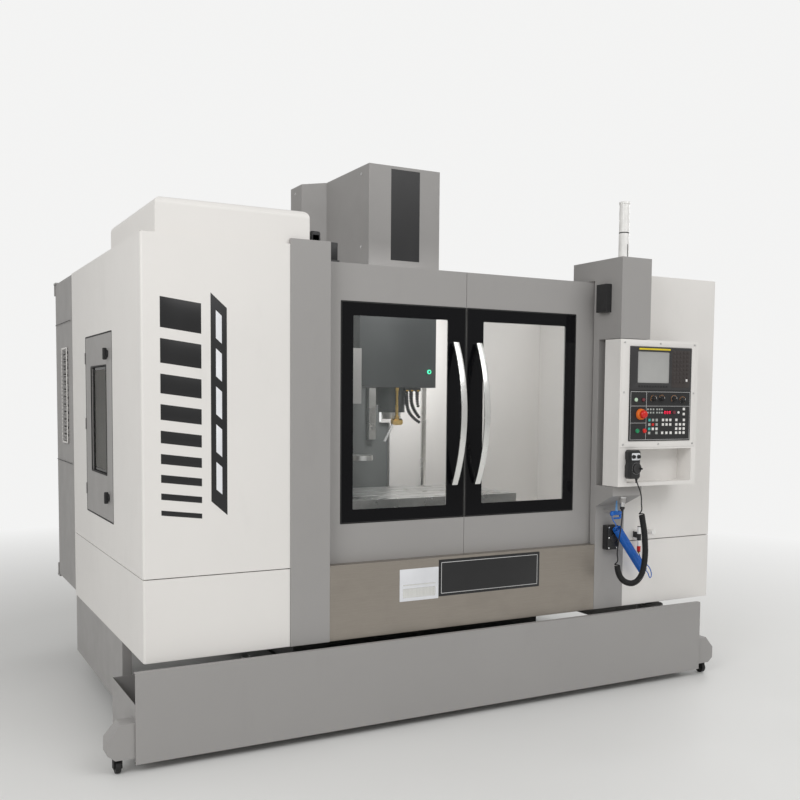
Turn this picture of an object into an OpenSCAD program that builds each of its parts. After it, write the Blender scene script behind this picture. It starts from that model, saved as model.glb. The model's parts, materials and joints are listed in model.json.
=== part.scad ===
// Vertical machining centre with a full enclosure, an arm type tool changer and a roll-out coolant tank.
// X runs to the operator's right, Y to the rear and Z up. Lengths are millimetres.
// Pieces are laid out from the middle of the enclosure's front face, and then moved as one to the origin.

/* [Enclosure] */
// Width of the enclosure
enc_w = 3000; // [2900:10:3100]
// Height of the enclosure's lower edge above the floor
enc_z0 = 407; // [400:1:430]
// Height of the enclosure's roof line
enc_top = 2074; // [2060:1:2120]
// Height of the seam between the main panels and the skirts
seam_z = 739; // [700:1:760]
// Depth of the side panels
side_d = 1477; // [1440:1:1520]
// Sheet thickness of panels and covers
sheet = 3; // [2:0.5:4]
// Depth of a panel's folded edge
fold = 40; // [25:1:44]
// Radius of the panels' outer vertical edges
edge_r = 10; // [5:1:18]
// Depth of the rear wall
rear_wall_d = 23; // [15:1:40]
// Width of the grey post left of the doors
post_w = 179; // [150:1:200]
// Height of the grey post above the roof line
post_rise = 23; // [0:1:60]

/* [Doors] */
// Height of the sill that the doors close on
sill_z = 733; // [690:1:750]
// Left edge of the doorway
way_x0 = -712; // [-740:1:-690]
// Right edge of the doorway
way_x1 = 725; // [700:1:740]
// Line where the two doors meet
meet_x = -10; // [-20:1:10]
// Height of the doors' top edge
door_top = 2024; // [1980:1:2040]
// Front plane of the doors
door_y = 50; // [48:1:60]
// Thickness of a door
door_t = 40; // [30:1:42]
// Width of one door leaf
leaf_w = 755; // [745:1:790]
// How far a door slides open
door_travel = 600; // [500:10:610]
// Outer edge of the window from the meeting line
pane_u = 628; // [600:1:660]
// Height of the window's lower edge
pane_z0 = 906; // [880:1:930]
// Height of the window's upper edge
pane_z1 = 1861; // [1800:1:1900]
// Thickness of the window glass
pane_t = 6; // [4:1:10]
// Nearer edge of the clear glass from the meeting line
clear_u0 = 95; // [90:1:120]
// Width of the black border at the window's outer, upper and lower edges
border_w = 57; // [40:1:80]
// Distance of a door handle from the meeting line
handle_u = 62; // [50:1:80]
// Length of a door handle
handle_h = 650; // [500:10:700]
// Height of a door handle's middle
handle_z = 1380; // [1300:10:1450]
// How far a door handle bulges from the door
handle_bulge = 95; // [60:1:110]
// Width of the handle's flat bar
handle_w = 30; // [20:1:40]
// Thickness of the handle's flat bar
handle_t = 8; // [5:1:12]

/* [Pillar and control box] */
// Width of the grey pillar right of the doors
pillar_w = 182; // [170:1:200]
// How far the horn and the box stand in front of the enclosure
horn_reach = 159; // [150:1:175]
// Height of the horn's top
horn_top = 2127; // [2100:1:2160]
// Width of the control box
box_w = 500; // [480:1:560]
// Depth of the control box
box_d = 111; // [100:1:115]
// Height of the control box's underside
box_z0 = 1032; // [1000:1:1060]
// Height of the control box's top
box_z1 = 1740; // [1720:1:1780]
// Distance of the swivel pin from the pillar's left face
pivot_u = 81; // [75:1:86]
// Distance of the swivel pin in front of the enclosure
pivot_f = 104; // [102:1:106]
// Radius of the swivel pin
pivot_r = 14; // [10:1:16]
// Width of the display and of the operator panel
unit_w = 396; // [380:1:405]
// Height of the display unit
display_h = 210; // [190:1:225]
// Height of the operator panel
keys_h = 236; // [220:1:240]
// Width of the shelf niche
niche_w = 415; // [380:1:430]
// Height of the shelf niche
niche_h = 162; // [150:1:170]
// Radius of the emergency stop's mushroom head
stop_r = 20; // [15:1:24]
// Radius of the start and stop buttons
button_r = 11; // [8:1:14]
// Radius of a selector knob
knob_r = 12; // [9:1:15]
// Width of the hand pendant
pendant_w = 66; // [60:1:75]
// Height of the hand pendant
pendant_h = 138; // [120:1:150]
// Depth of the hand pendant
pendant_d = 42; // [35:1:50]

/* [Machine] */
// Distance of the spindle axis behind the front of the enclosure
spindle_y = 800; // [780:1:820]
// Height of the spindle nose as shown
nose_z = 1340; // [1320:1:1380]
// Length of the table
table_l = 1200; // [1100:10:1240]
// Width of the table
table_w = 600; // [500:10:620]
// Height of the table's top
table_z = 950; // [940:1:960]
// Thickness of the table
table_t = 120; // [100:1:122]
// Width of a T-slot
slot_w = 18; // [14:1:22]
// Distance between T-slots
slot_pitch = 125; // [100:5:125]
// Width of the linear guide rails
rail_w = 45; // [35:1:45]
// Height of the linear guide rails
rail_h = 38; // [30:1:38]
// Radius of the ball screws
screw_r = 16; // [12:1:18]
// Height of the bed's top
bed_top = 600; // [580:1:610]
// Height of the column's top
column_top = 2400; // [2390:1:2420]
// Half width of the column's upper part
column_hw = 285; // [260:1:290]
// Rear face of the column
column_back = 2150; // [2100:10:2200]
// Radius of the levelling feet
foot_r = 60; // [45:1:75]
// Height of the cover over the head
cover_h = 571; // [500:1:600]
// Half width of the head
head_hw = 205; // [190:1:210]
// Front face of the head
head_y = 690; // [680:1:700]
// Number of tool pots
pots = 24; // [16:1:24]
// Radius of the circle that the tool pots stand on
pot_circle = 300; // [290:1:310]
// Radius of a tool pot
pot_r = 34; // [28:1:36]
// Distance from the changer arm's axis to the spindle axis
arm_reach = 350; // [340:1:360]

/* [Coolant tank] */
// Left end of the tank's front plate
tank_x0 = -1548; // [-1570:1:-1530]
// Right end of the tank's front plate
tank_x1 = 1393; // [1300:1:1400]
// How far the tank's front stands in front of the enclosure
tank_reach = 60; // [50:1:90]
// Height of the front plate's lower edge
tank_z0 = 35; // [30:1:45]
// Height of the front plate's upper edge
tank_z1 = 393; // [380:1:396]
// Depth of the tank
tank_d = 440; // [400:1:460]
// Height of the tank's tray
tray_h = 205; // [180:1:220]
// How far a castor bracket stands out from the tank's end
ear_w = 105; // [90:1:120]
// Radius of a castor wheel
castor_r = 27; // [25:1:28]

/* [Hidden] */

// Colours
white = [0.90, 0.89, 0.87];
grey = [0.60, 0.59, 0.58];
dark_grey = [0.33, 0.34, 0.35];
black = [0.07, 0.07, 0.07];
steel = [0.72, 0.72, 0.72];
brushed = [0.58, 0.55, 0.51];
cast_green = [0.55, 0.57, 0.55];
glass = [0.75, 0.80, 0.82, 0.35];
air_blue = [0.15, 0.40, 0.75];

// Clearances: a seat between still pieces, a running fit, and an air gap round a moving door
seat = 0.3;
fit = 0.05;
air = 2;

// Places that several pieces share
hw = enc_w / 2;
post_x0 = way_x0 - post_w;
post_front = 5;
pillar_x1 = way_x1 + pillar_w;
horn_z0 = box_z1 + 3;
slot_top = door_top + 8;
horn_back = 207;
corbel_z1 = box_z0 - 3;
corbel_reach = pivot_f + pivot_r + 6;
corbel_drop = 45;
corbel_foot = 106;
pivot_x = way_x1 + pivot_u;
door_back = door_y + door_t;
track_y0 = door_back + 6;
track_d = 40;
track_z1 = door_top - 24;
track_h = 40;
wall_y1 = side_d + rear_wall_d;
column_y = wall_y1;
rail_y = column_y - rail_h;
handle_y = door_y - handle_bulge;
bed_hw = 700;
column_foot_hw = 400;
bed_z0 = 90;
bed_front = 205;
foot_x = [-600, 0, 600];
foot_y = [520, 1300, 2060];
niche_z0 = box_z0 + 18;
keys_z0 = niche_z0 + niche_h + 40;
display_z0 = keys_z0 + keys_h + 9;
unit_x0 = way_x1 + 58;
unit_front = horn_reach + 5;
box_back = horn_reach - box_d;
niche_x0 = way_x1 + 55;
head_z0 = nose_z + 165;
head_top = head_z0 + 545;
cover_top = head_top + cover_h;
cover_x = column_hw + 26;
cover_front = head_y - 22;
head_neck = spindle_y + 390;
slide_y = rail_y - 7;
z_screw_y = column_y - 10;
x_screw_z = table_z - table_t - 30;
saddle_top = table_z - table_t - rail_h - 12;
saddle_z0 = bed_top + rail_h + 7;
y_screw_z = bed_top + 5;
saddle_l = 1500;
saddle_d = 500;
y_rail_x = 380;
x_rail_dy = 170;
z_rail_x = 220;
y_rail_0 = bed_front + 20;
y_rail_1 = column_y - 70;
disc_x = -760;
disc_t = 20;
disc_z = 1640;
arm_x = -arm_reach;
arm_z = 1150;
case_z0 = arm_z + 270;
pot_l = 110;
side_door_y0 = 531;
side_door_y1 = 1134;
side_door_z0 = 894;
side_door_z1 = 1728;
side_door_gap = 4;
side_leaf_t = 25;
side_axis_in = 6;
side_axis_back = 14;
side_pin_r = 4;
side_glass_y0 = 655;
side_glass_y1 = 1000;
side_glass_z0 = 1098;
side_glass_z1 = 1584;
latch_y = 618;
latch_z0 = 1000;
latch_z1 = 1633;
latch_stem_r = 6;
cab_x1 = -900;
cab_y0 = wall_y1 + 6;
cab_d = 504;
cab_y1 = cab_y0 + cab_d;
cab_beam_y = cab_y0 + 144;
cab_beam_w = 60;
cab_vent_y = cab_y0 + 134;
cab_vent_w = 140;
cab_z0 = 430;
cab_z1 = 2070;
cab_leaf_t = 25;
switch_x = -1010;
switch_z = 1500;
switch_stem_r = 8;
dome_z1 = enc_top + 143;
dome_x1 = -800;
dome_y0 = 14;
dome_y1 = 813;
dome_r = 30;
dome_in = 60;
base_z0 = 115;
base_y0 = tank_d - tank_reach + 8;
ear_z0 = 60;
tray_z0 = 58;
chamfer = [142, 75];

// The whole object, without its cord and hose, is centred on the origin
x_low = tank_x0 - ear_w;
x_high = max(hw, tank_x1 + ear_w);
wheel_front = 12;
y_low = -(unit_front + pendant_d + 8 + wheel_front);
y_high = column_back;
mid_x = (x_low + x_high) / 2;
mid_y = (y_low + y_high) / 2;
module place() {
  translate([-mid_x, -mid_y, 0]) children();
}

// A block between two opposite corners
module block(low, high) {
  translate(low) cube(high - low);
}
// A folded sheet tray, open on the side that the direction points to
module tray(low, high, open) {
  inner_low = [for (i = [0:2]) open[i] < 0 ? low[i] - 1 : low[i] + sheet];
  inner_high = [for (i = [0:2]) open[i] > 0 ? high[i] + 1 : high[i] - sheet];
  difference() {
    block(low, high);
    block(inner_low, inner_high);
  }
}
// A rod along X, Y or Z from a start point
module rod_x(p, r, l) {
  translate(p) rotate([0, 90, 0]) cylinder(r = r, h = l, $fn = 48);
}
module rod_y(p, r, l) {
  translate(p) rotate([-90, 0, 0]) cylinder(r = r, h = l, $fn = 48);
}
module rod_z(p, r, l) {
  translate(p) cylinder(r = r, h = l, $fn = 48);
}
// A rectangle in plan with one round corner at its low X and low Y corner
module corner_plan(x_end, y_end, inset) {
  lo = -hw + inset;
  r = edge_r - inset;
  translate([lo + r, inset]) square([x_end - lo - r, fold - inset]);
  translate([lo, inset + r]) square([fold - inset, y_end - inset - r]);
  translate([lo + r, inset + r]) circle(r = r, $fn = 48);
}
// A corner panel for the left side: front sheet, round edge and side sheet, with folded edges
module corner_panel(x_end, z_low, z_high) {
  difference() {
    translate([0, 0, z_low]) linear_extrude(z_high - z_low) corner_plan(x_end, side_d, 0);
    block([-hw + edge_r, sheet, z_low + sheet], [x_end - sheet, fold + 1, z_high - sheet]);
    block([-hw + sheet, edge_r, z_low + sheet], [-hw + fold + 1, side_d - sheet, z_high - sheet]);
    translate([-hw + edge_r, edge_r, z_low + sheet])
      cylinder(r = edge_r - sheet, h = z_high - z_low - 2 * sheet, $fn = 48);
  }
}

// Bed and its feet
module bed() {
  color(cast_green) place() {
    difference() {
      union() {
        block([-bed_hw, tank_d, bed_z0], [bed_hw, column_back - 20, bed_top]);
        block([-520, bed_front, 430], [520, tank_d, bed_top]);
      }
      block([-80, bed_front - 1, bed_top - 45], [80, column_y - 30, bed_top + 1]);
      // Shallow panels in the side faces
      for (s = [-1, 1]) for (k = [0:3])
        block([s * bed_hw - 20, 520 + k * 400, 180], [s * bed_hw + 20, 810 + k * 400, 480]);
      // Core pockets between the ribs, open below
      for (s = [-1, 1]) for (i = [0, 1]) for (k = [0:4])
        block([s * (165 + 330 * i) - 145, 480 + k * 325, bed_z0 - 1], [s * (165 + 330 * i) + 145, 770 + k * 325, bed_top - 80]);
    }
    // Bosses over the levelling feet
    for (x = foot_x) for (y = foot_y) rod_z([x, y, bed_z0], 50, bed_top - 60 - bed_z0);
    for (y = [y_rail_0 + 5, y_rail_1 - 15]) difference() {
      block([-60, y, bed_top - 45], [60, y + 30, bed_top + 32]);
      rod_y([0, y - 1, y_screw_z], screw_r + fit, 32);
    }
  }
}
module levelling_feet() {
  color(steel) place() for (x = foot_x) for (y = foot_y) {
    rod_z([x, y, 0], foot_r, 20);
    rod_z([x, y, 19], 18, bed_z0 - 19);
    rod_z([x, y, 50], 30, 24);
  }
}

// Column, guide rails, screws and motors
module column() {
  color(cast_green) place() {
    difference() {
      union() {
        block([-column_foot_hw, column_y, bed_top], [column_foot_hw, column_back, 1300]);
        block([-column_hw, column_y, 1299], [column_hw, column_back - 150, column_top]);
      }
      block([-80, column_y - 1, 1120], [80, column_y + 60, column_top + 1]);
      // Core pockets between the ribs, open to the rear
      for (s = [0, 1]) mirror([s, 0, 0]) {
        block([15, column_y + 180, bed_top + 60], [300, column_back + 1, 920]);
        block([15, column_y + 180, 950], [300, column_back + 1, 1240]);
        for (k = [0:2])
          block([15, column_y + 180, 1340 + 330 * k], [column_hw - 50, column_back - 149, 1640 + 330 * k]);
      }
    }
    for (z = [1150, column_top - 60]) difference() {
      block([-60, column_y - 32, z], [60, column_y + 61, z + 40]);
      rod_z([0, z_screw_y, z - 1], screw_r + fit, 42);
    }
  }
}
module guide_rails() {
  color(steel) place() {
    for (s = [-1, 1]) {
      block([s * y_rail_x - rail_w / 2, y_rail_0, bed_top], [s * y_rail_x + rail_w / 2, y_rail_1, bed_top + rail_h]);
      block([s * z_rail_x - rail_w / 2, rail_y, 1200], [s * z_rail_x + rail_w / 2, column_y, column_top - 10]);
    }
  }
}
module motor(p, w, l) {
  block(p, p + [w, w, l]);
  block(p + [w * 0.3, w * 0.3, l - 1], p + [w * 0.7, w * 0.7, l + 35]);
}
module axis_motors() {
  color(black) place() {
    // Belt case and motor of the vertical axis, on top of the column
    block([-70, z_screw_y - 22, column_top], [70, column_y + 240, column_top + 30]);
    motor([-70, column_y + 90, column_top + 29], 140, 150);
    // Motor of the cross axis, in front of its screw
    block([-65, bed_front - 130, y_screw_z - 65], [65, bed_front, y_screw_z + 65]);
  }
}
module x_screw() {
  color(steel) place() rod_x([-saddle_l / 2, spindle_y, x_screw_z], screw_r, saddle_l);
}
module y_screw() {
  color(steel) place() rod_y([0, bed_front + seat, y_screw_z], screw_r, y_rail_1 + 20 - bed_front);
}
module z_screw() {
  color(steel) place() rod_z([0, z_screw_y, 1130], screw_r, column_top - 1130 - seat);
}

// Enclosure panels
module side_door_hole(grow) {
  block([-hw - 1, side_door_y0 - grow, side_door_z0 - grow], [-hw + fold - seat, side_door_y1 + grow, side_door_z1 + grow]);
}
module left_panel() {
  color(white) place() {
    difference() {
      union() {
        difference() {
          corner_panel(post_x0 - seat, seam_z, enc_top);
          side_door_hole(0);
        }
        difference() {
          intersection() {
            side_door_hole(sheet);
            block([-hw, 0, 0], [0, side_d, enc_top]);
          }
          side_door_hole(0);
        }
      }
      // Holes for the door's pins
      rod_z([-hw + side_axis_in, side_door_y1 - side_axis_back, side_door_z0 - 20], side_pin_r + fit, 900);
    }
  }
}
module right_panel() {
  color(white) place() {
    mirror([1, 0, 0]) corner_panel(-pillar_x1 - seat, seam_z, enc_top);
    // Peg that the hose is hung on
    rod_y([1066, -44, seam_z + 41], 12, 45);
  }
}
module skirts() {
  color(white) place() {
    corner_panel(post_x0 - seat, enc_z0, seam_z - 4);
    mirror([1, 0, 0]) corner_panel(-pillar_x1 - seat, enc_z0, seam_z - 4);
  }
}
module left_post() {
  color(grey) place() {
    difference() {
      tray([post_x0, -post_front, enc_z0], [way_x0, fold, enc_top + post_rise], [0, 1, 0]);
      // Room for the corner of the magazine cover
      block([post_x0 - 1, dome_y0 - seat, enc_top], [dome_x1 + seat, fold + 1, enc_top + post_rise + 1]);
    }
    base_panel();
  }
}
// Panel below a side skirt, behind the tank
module base_panel() {
  tray([-hw, base_y0, base_z0], [-hw + fold, side_d, enc_z0 - seat], [1, 0, 0]);
}
module right_pillar() {
  color(grey) place() {
    // Long strip flush with the panels
    tray([way_x1, 0, enc_z0], [pillar_x1, fold, horn_z0 + 1], [0, 1, 0]);
    // Horn over the control box
    difference() {
      union() {
        block([way_x1, -horn_reach, horn_z0], [pillar_x1, fold, horn_top]);
        block([way_x1, fold - 1, slot_top], [pillar_x1, horn_back, horn_top]);
      }
      block([way_x1 + sheet, -horn_reach + sheet, horn_z0 + sheet], [pillar_x1 - sheet, fold - sheet, horn_top - sheet]);
      block([way_x1 + sheet, fold - sheet - 1, slot_top + sheet], [pillar_x1 - sheet, horn_back - sheet, horn_top - sheet]);
    }
    // Corbel under the control box
    difference() {
      corbel(0);
      corbel(sheet);
    }
    // Swivel pins and the washer that carries the box
    rod_z([pivot_x, -pivot_f, horn_z0 - 13], pivot_r, 14 + sheet);
    rod_z([pivot_x, -pivot_f, corbel_z1 - sheet], pivot_r, 13 + sheet);
    rod_z([pivot_x, -pivot_f, corbel_z1 - sheet], pivot_r + 6, 3 + sheet - seat);
    rod_z([pivot_x, -pivot_f, box_z1 + seat], pivot_r + 6, 4);
    mirror([1, 0, 0]) base_panel();
    // Socket of the pendant's plug, and the hook of the air gun
    rod_z([pivot_x, -pivot_f, plug_z + plug_l + seat], 15, corbel_z1 - plug_z - plug_l - seat - 1);
    rod_y([gun_at[0], gun_at[1] + gun_r + seat, gun_at[2] + 20], 4, 1 - gun_at[1] - gun_r - seat);
  }
}
// Corbel's outline seen from the side, drawn inside itself by an inset
module corbel(inset) {
  i = inset;
  z1 = corbel_z1;
  translate([way_x1 + i, 0, 0]) rotate([90, 0, 90]) linear_extrude(pillar_w - 2 * i)
    polygon([[i > 0 ? -i : 1, z1 - i], [-corbel_reach + i, z1 - i], [-corbel_reach + i, z1 - corbel_drop + i],
      [i > 0 ? -i : 1, z1 - corbel_foot + 2 * i]]);
}
module bed_notch() {
  block([-bed_hw - seat, side_d - 1, enc_z0 - 1], [bed_hw + seat, wall_y1 + 1, bed_top + seat]);
}
module rear_panels() {
  color(white) place() {
    difference() {
      tray([-hw, side_d, enc_z0], [-column_hw - 60, wall_y1, enc_top], [0, 1, 0]);
      // Passage for the tool changer's carrier
      block([disc_x - 40, side_d - 1, 1480], [0, wall_y1 + 1, enc_top + 1]);
      bed_notch();
    }
    difference() {
      tray([column_hw + 60, side_d, enc_z0], [hw, wall_y1, enc_top], [0, 1, 0]);
      bed_notch();
    }
  }
}
module apron() {
  color(brushed) place() {
    tray([way_x0 + seat, 0, enc_z0], [way_x1 - seat, door_y - air, sill_z], [0, 1, 0]);
    for (x = [way_x0 + 160, way_x1 - 240])
      block([x, door_y - air - 4, enc_z0 + sheet], [x + 80, bed_front, enc_z0 + 60]);
  }
}
module door_track() {
  color(steel) place() {
    // Upper beam that the doors hang on
    block([-hw + sheet, track_y0, track_z1 - track_h], [hw - sheet, track_y0 + track_d, track_z1]);
    // Lower guide strip behind the sill
    block([-hw + sheet, door_back + air, sill_z - 60], [hw - sheet, door_back + air + 8, sill_z - 4]);
  }
}
module magazine_cover() {
  x0 = -hw + dome_in;
  y0 = dome_y0;
  color(white) place() difference() {
    union() {
      dome(x0, dome_x1, y0, dome_y1, enc_top, dome_z1, dome_r);
      // Roof sheet that the cover stands on
      block([-hw + 12, y0, enc_top], [dome_x1, side_d, enc_top + sheet]);
    }
    dome(x0 + sheet, dome_x1 - sheet, y0 + sheet, dome_y1 - sheet, enc_top - 1, dome_z1 - sheet, dome_r - sheet);
  }
}
// A box with round upper edges on all four sides
module dome(x0, x1, y0, y1, z0, z1, r) {
  intersection() {
    translate([0, y1, 0]) rotate([90, 0, 0]) linear_extrude(y1 - y0) round_top(x0, x1, z0, z1, r);
    translate([x0, 0, 0]) rotate([90, 0, 90]) linear_extrude(x1 - x0) round_top(y0, y1, z0, z1, r);
  }
}
module round_top(a0, a1, b0, b1, r) {
  translate([a0, b0]) square([a1 - a0, b1 - b0 - r]);
  translate([a0 + r, b1 - r - 1]) square([a1 - a0 - 2 * r, r + 1]);
  for (a = [a0 + r, a1 - r]) translate([a, b1 - r]) circle(r = r, $fn = 48);
}
module splash_pans() {
  lining = hw - fold - seat;
  y0 = track_y0 + track_d + 12;
  pan_z = bed_top + 190;
  color(white) place() {
    // Sloping floor sheets beside the saddle
    for (s = [0, 1]) mirror([s, 0, 0]) translate([0, side_d, 0]) rotate([90, 0, 0])
      linear_extrude(side_d - y0)
        polygon([[-lining + 3, pan_z], [-lining + 3, pan_z - 4], [-bed_hw - 90, bed_top], [-bed_hw, bed_top],
          [-bed_hw, bed_top + 4], [-bed_hw - 90, bed_top + 4]]);
    // Inner side walls, the left one with a hole for the side door
    block([lining - 2, y0, pan_z - 20], [lining, side_d, enc_top - 1]);
    difference() {
      block([-lining, y0, pan_z - 20], [2 - lining, side_d, enc_top - 1]);
      block([-lining - 1, side_door_y0 + 20, side_door_z0 + 20], [3 - lining, side_door_y1 - 20, side_door_z1 - 20]);
    }
  }
}

// Electrical cabinet
module cabinet() {
  x0 = -hw;
  color(grey) place() {
    difference() {
      block([x0, cab_y0, cab_z0], [cab_x1, cab_y1, cab_z1]);
      block([x0 + sheet, cab_y0 + sheet, cab_z0 + sheet], [cab_x1 - sheet, cab_y1 - sheet, cab_z1 - sheet]);
      block([x0 + 20, cab_y1 - sheet - 1, cab_z0 + 20], [cab_x1 - 20, cab_y1 + 1, cab_z1 - 20]);
      // Vent of the cooler, and the cable entry
      for (k = [0:11])
        block([x0 - 1, cab_vent_y, 1230 + 40 * k], [x0 + sheet + 1, cab_vent_y + cab_vent_w, 1245 + 40 * k]);
      rod_z([-1200, 1800, cab_z0 - 1], 32, sheet + 2);
    }
    // Lugs that the door's pins stand in
    for (z = [cab_z0 - 8, cab_z1 - 2 + seat]) difference() {
      block([-hw - 6, cab_y1 - 30, z], [-hw + 20, cab_face + 10, z + 10 - seat]);
      rod_z([cab_axis[0], cab_axis[1], z - 1], cab_pin_r + fit, 12);
    }
    // Mounting plate with drives
    block([x0 + 40, cab_y0 + sheet, cab_z0 + 100], [cab_x1 - 40, cab_y0 + 20, cab_z1 - 100]);
    for (k = [0:3]) block([x0 + 80 + 110 * k, cab_y0 + 19, 1300], [x0 + 170 + 110 * k, cab_y0 + 240, 1650]);
    block([x0 + 80, cab_y0 + 19, 700], [cab_x1 - 80, cab_y0 + 160, 1000]);
    // Beams to the column
    block([cab_x1 + seat, cab_beam_y, 900], [-column_foot_hw - seat, cab_beam_y + cab_beam_w, 960]);
    block([cab_x1 + seat, cab_beam_y, 1850], [-column_hw - seat, cab_beam_y + cab_beam_w, 1910]);
  }
}
cab_face = cab_y1 + seat + cab_leaf_t;
cab_axis = [-hw + 1, cab_face + 4];
cab_pin_r = 3;
module cabinet_door() {
  t = cab_y1 + seat;
  color(grey) place() difference() {
    union() {
      tray([-hw + 2, t, cab_z0 + 2], [cab_x1 - 2, cab_face, cab_z1 - 2], [0, -1, 0]);
      block([switch_x - 40, t + 6, switch_z - 40], [switch_x + 40, cab_face, switch_z + 40]);
      // Hinge blocks with their pins
      for (z = [cab_z0 + 2, cab_z1 - 62]) block([-hw - 4, cab_face - 1, z], [-hw + 18, cab_face + 9, z + 60]);
      for (z = [cab_z0 - 6, cab_z1 - 12]) rod_z([cab_axis[0], cab_axis[1], z], cab_pin_r, 18);
    }
    rod_y([switch_x, t + 5, switch_z], switch_stem_r + fit, cab_leaf_t);
  }
}
module main_switch() {
  t = cab_face;
  color([0.75, 0.1, 0.08]) place() {
    rod_y([switch_x, t - 12, switch_z], switch_stem_r, 14);
    rod_y([switch_x, t + seat, switch_z], 32, 8);
    block([switch_x - 8, t + 8, switch_z - 28], [switch_x + 8, t + 26, switch_z + 28]);
  }
}

// Lamp on the pillar, and the switch, socket and valve on the front
module signal_lamp() {
  p = [pivot_x + 9, -60, horn_top];
  color(white) place() {
    rod_z(p, 25, 128);
    rod_z(p + [0, 0, 127], 22, 6);
    rod_z(p + [0, 0, 132], 25, 140);
    rod_z(p + [0, 0, 271], 27, 8);
  }
}
module front_fittings() {
  color(black) place() {
    // Door interlock on the horn's side
    block([way_x1 - 34, -86, 1871], [way_x1, -14, 2004]);
    // Socket box low on the pillar
    block([way_x1 + 49, -36, 707], [way_x1 + 116, 0, 827]);
    // Valve that feeds the air hose
    rod_z(valve_at, 9, 130);
    block([valve_at[0] - 8, valve_at[1], seam_z + 16], [valve_at[0] + 8, 0, seam_z + 46]);
  }
}

// Tool changer
module tool_changer_body() {
  color(grey) place() {
    // Carrier from the column to the disc
    block([disc_x + 60, column_y + 60, disc_z - 80], [-column_hw, column_y + 200, disc_z + 80]);
    block([disc_x + 60, spindle_y - 60, disc_z - 50], [disc_x + 130, column_y + 61, disc_z + 50]);
    rod_x([disc_x + disc_t + seat, spindle_y, disc_z], 60, 61 - disc_t);
    rod_x([disc_x - 30, spindle_y, disc_z], 20, 91);
    // Gear case of the changer arm
    block([disc_x + 129, spindle_y - 50, disc_z - 40], [arm_x - 90, spindle_y + 50, disc_z + 40]);
    difference() {
      union() {
        block([arm_x - 120, spindle_y - 110, case_z0], [arm_x + 120, spindle_y + 160, disc_z + 60]);
        rod_z([arm_x, spindle_y, arm_z + 60], 60, case_z0 - arm_z - 59);
      }
      rod_z([arm_x, spindle_y, arm_z + 59], 25 + fit, case_z0 - arm_z + 40);
    }
  }
}
module magazine_disc() {
  color(dark_grey) place() translate([disc_x, spindle_y, disc_z]) rotate([0, 90, 0]) {
    difference() {
      union() {
        cylinder(r = pot_circle - pot_r - 6, h = disc_t, $fn = 96);
        for (i = [0:pots - 1]) rotate([0, 0, i * 360 / pots]) {
          translate([pot_circle - 60, -12, 0]) cube([60, 24, disc_t]);
          translate([pot_circle, 0, -pot_l + disc_t]) cylinder(r = pot_r, h = pot_l, $fn = 48);
          // Loaded tool holder
          translate([pot_circle, 0, -pot_l + disc_t - 40]) cylinder(r = 24, h = 41, $fn = 48);
        }
      }
      translate([0, 0, -1]) cylinder(r = 20 + fit, h = disc_t + 2, $fn = 48);
    }
  }
}
module changer_arm() {
  color(steel) place() {
    rod_z([arm_x, spindle_y, arm_z + 10], 25, case_z0 - arm_z + 80);
    difference() {
      union() {
        rod_z([arm_x, spindle_y, arm_z], 55, 34);
        block([arm_x - 32, spindle_y - arm_reach, arm_z], [arm_x + 32, spindle_y + arm_reach, arm_z + 24]);
        for (s = [-1, 1]) rod_z([arm_x, spindle_y + s * arm_reach, arm_z], 60, 24);
      }
      // Bites that take the tool holders, open to opposite sides
      for (s = [-1, 1]) translate([arm_x, spindle_y + s * arm_reach, arm_z - 1]) rotate([0, 0, s * 90 - 90]) {
        cylinder(r = 32, h = 26, $fn = 48);
        translate([0, -26, 0]) cube([70, 52, 26]);
      }
    }
  }
}

// Sliding doors, drawn for the right side and mirrored for the left
module leaf_frame(s) {
  translate([meet_x, 0, 0]) mirror([s < 0 ? 1 : 0, 0, 0]) children();
}
module door_leaf() {
  color(grey) place() children();
}
module leaf() {
  difference() {
    union() {
      tray([1, door_y, sill_z - 8], [leaf_w, door_back, door_top], [0, 1, 0]);
      block([1, door_y, pane_z0 - 25], [pane_u + 25, door_y + 22, pane_z1 + 25]);
      // Hangers that run on the upper beam
      for (u = [60, leaf_w - 160])
        block([u, door_y + 1, track_z1 + seat], [u + 90, track_y0 + track_d + 6, door_top - sheet + 0.5]);
    }
    // Clear opening, and the recess that holds the glass
    block([clear_u0 - 6, door_y - 1, pane_z0 + border_w - 6], [pane_u - border_w + 6, door_back + 1, pane_z1 - border_w + 6]);
    block([4, door_y - 1, pane_z0 - 1], [pane_u + 1, door_y + 1 + pane_t + seat, pane_z1 + 1]);
  }
}
module pane() {
  block([4 + 1, door_y + 1, pane_z0], [pane_u, door_y + 1 + pane_t, pane_z1]);
}
// Flat bar bent to an arc that bulges to the front, with a foot at each end
module handle() {
  sag = handle_bulge - 18;
  half = handle_h / 2;
  r = (half * half + sag * sag) / (2 * sag);
  translate([handle_u - handle_w / 2, 0, 0]) difference() {
    translate([0, handle_y + r, handle_z]) rotate([0, 90, 0]) difference() {
      cylinder(r = r, h = handle_w, $fn = 180);
      translate([0, 0, -1]) cylinder(r = r - handle_t, h = handle_w + 2, $fn = 180);
    }
    block([-1, handle_y + sag, handle_z - 2 * r - 1], [handle_w + 1, handle_y + 2 * r + 1, handle_z + 2 * r + 1]);
  }
  for (s = [-1, 1]) rod_y([handle_u, door_y + 1 - seat - 20, handle_z + s * (half - 14)], 9, 20);
}
module left_door() {
  door_leaf() leaf_frame(-1) leaf();
}
module right_door() {
  door_leaf() leaf_frame(1) leaf();
}
module left_window() {
  color(glass) place() leaf_frame(-1) pane();
}
module right_window() {
  color(glass) place() leaf_frame(1) pane();
}
module left_handle() {
  color(steel) place() leaf_frame(-1) handle();
}
module right_handle() {
  color(steel) place() leaf_frame(1) handle();
}

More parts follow.
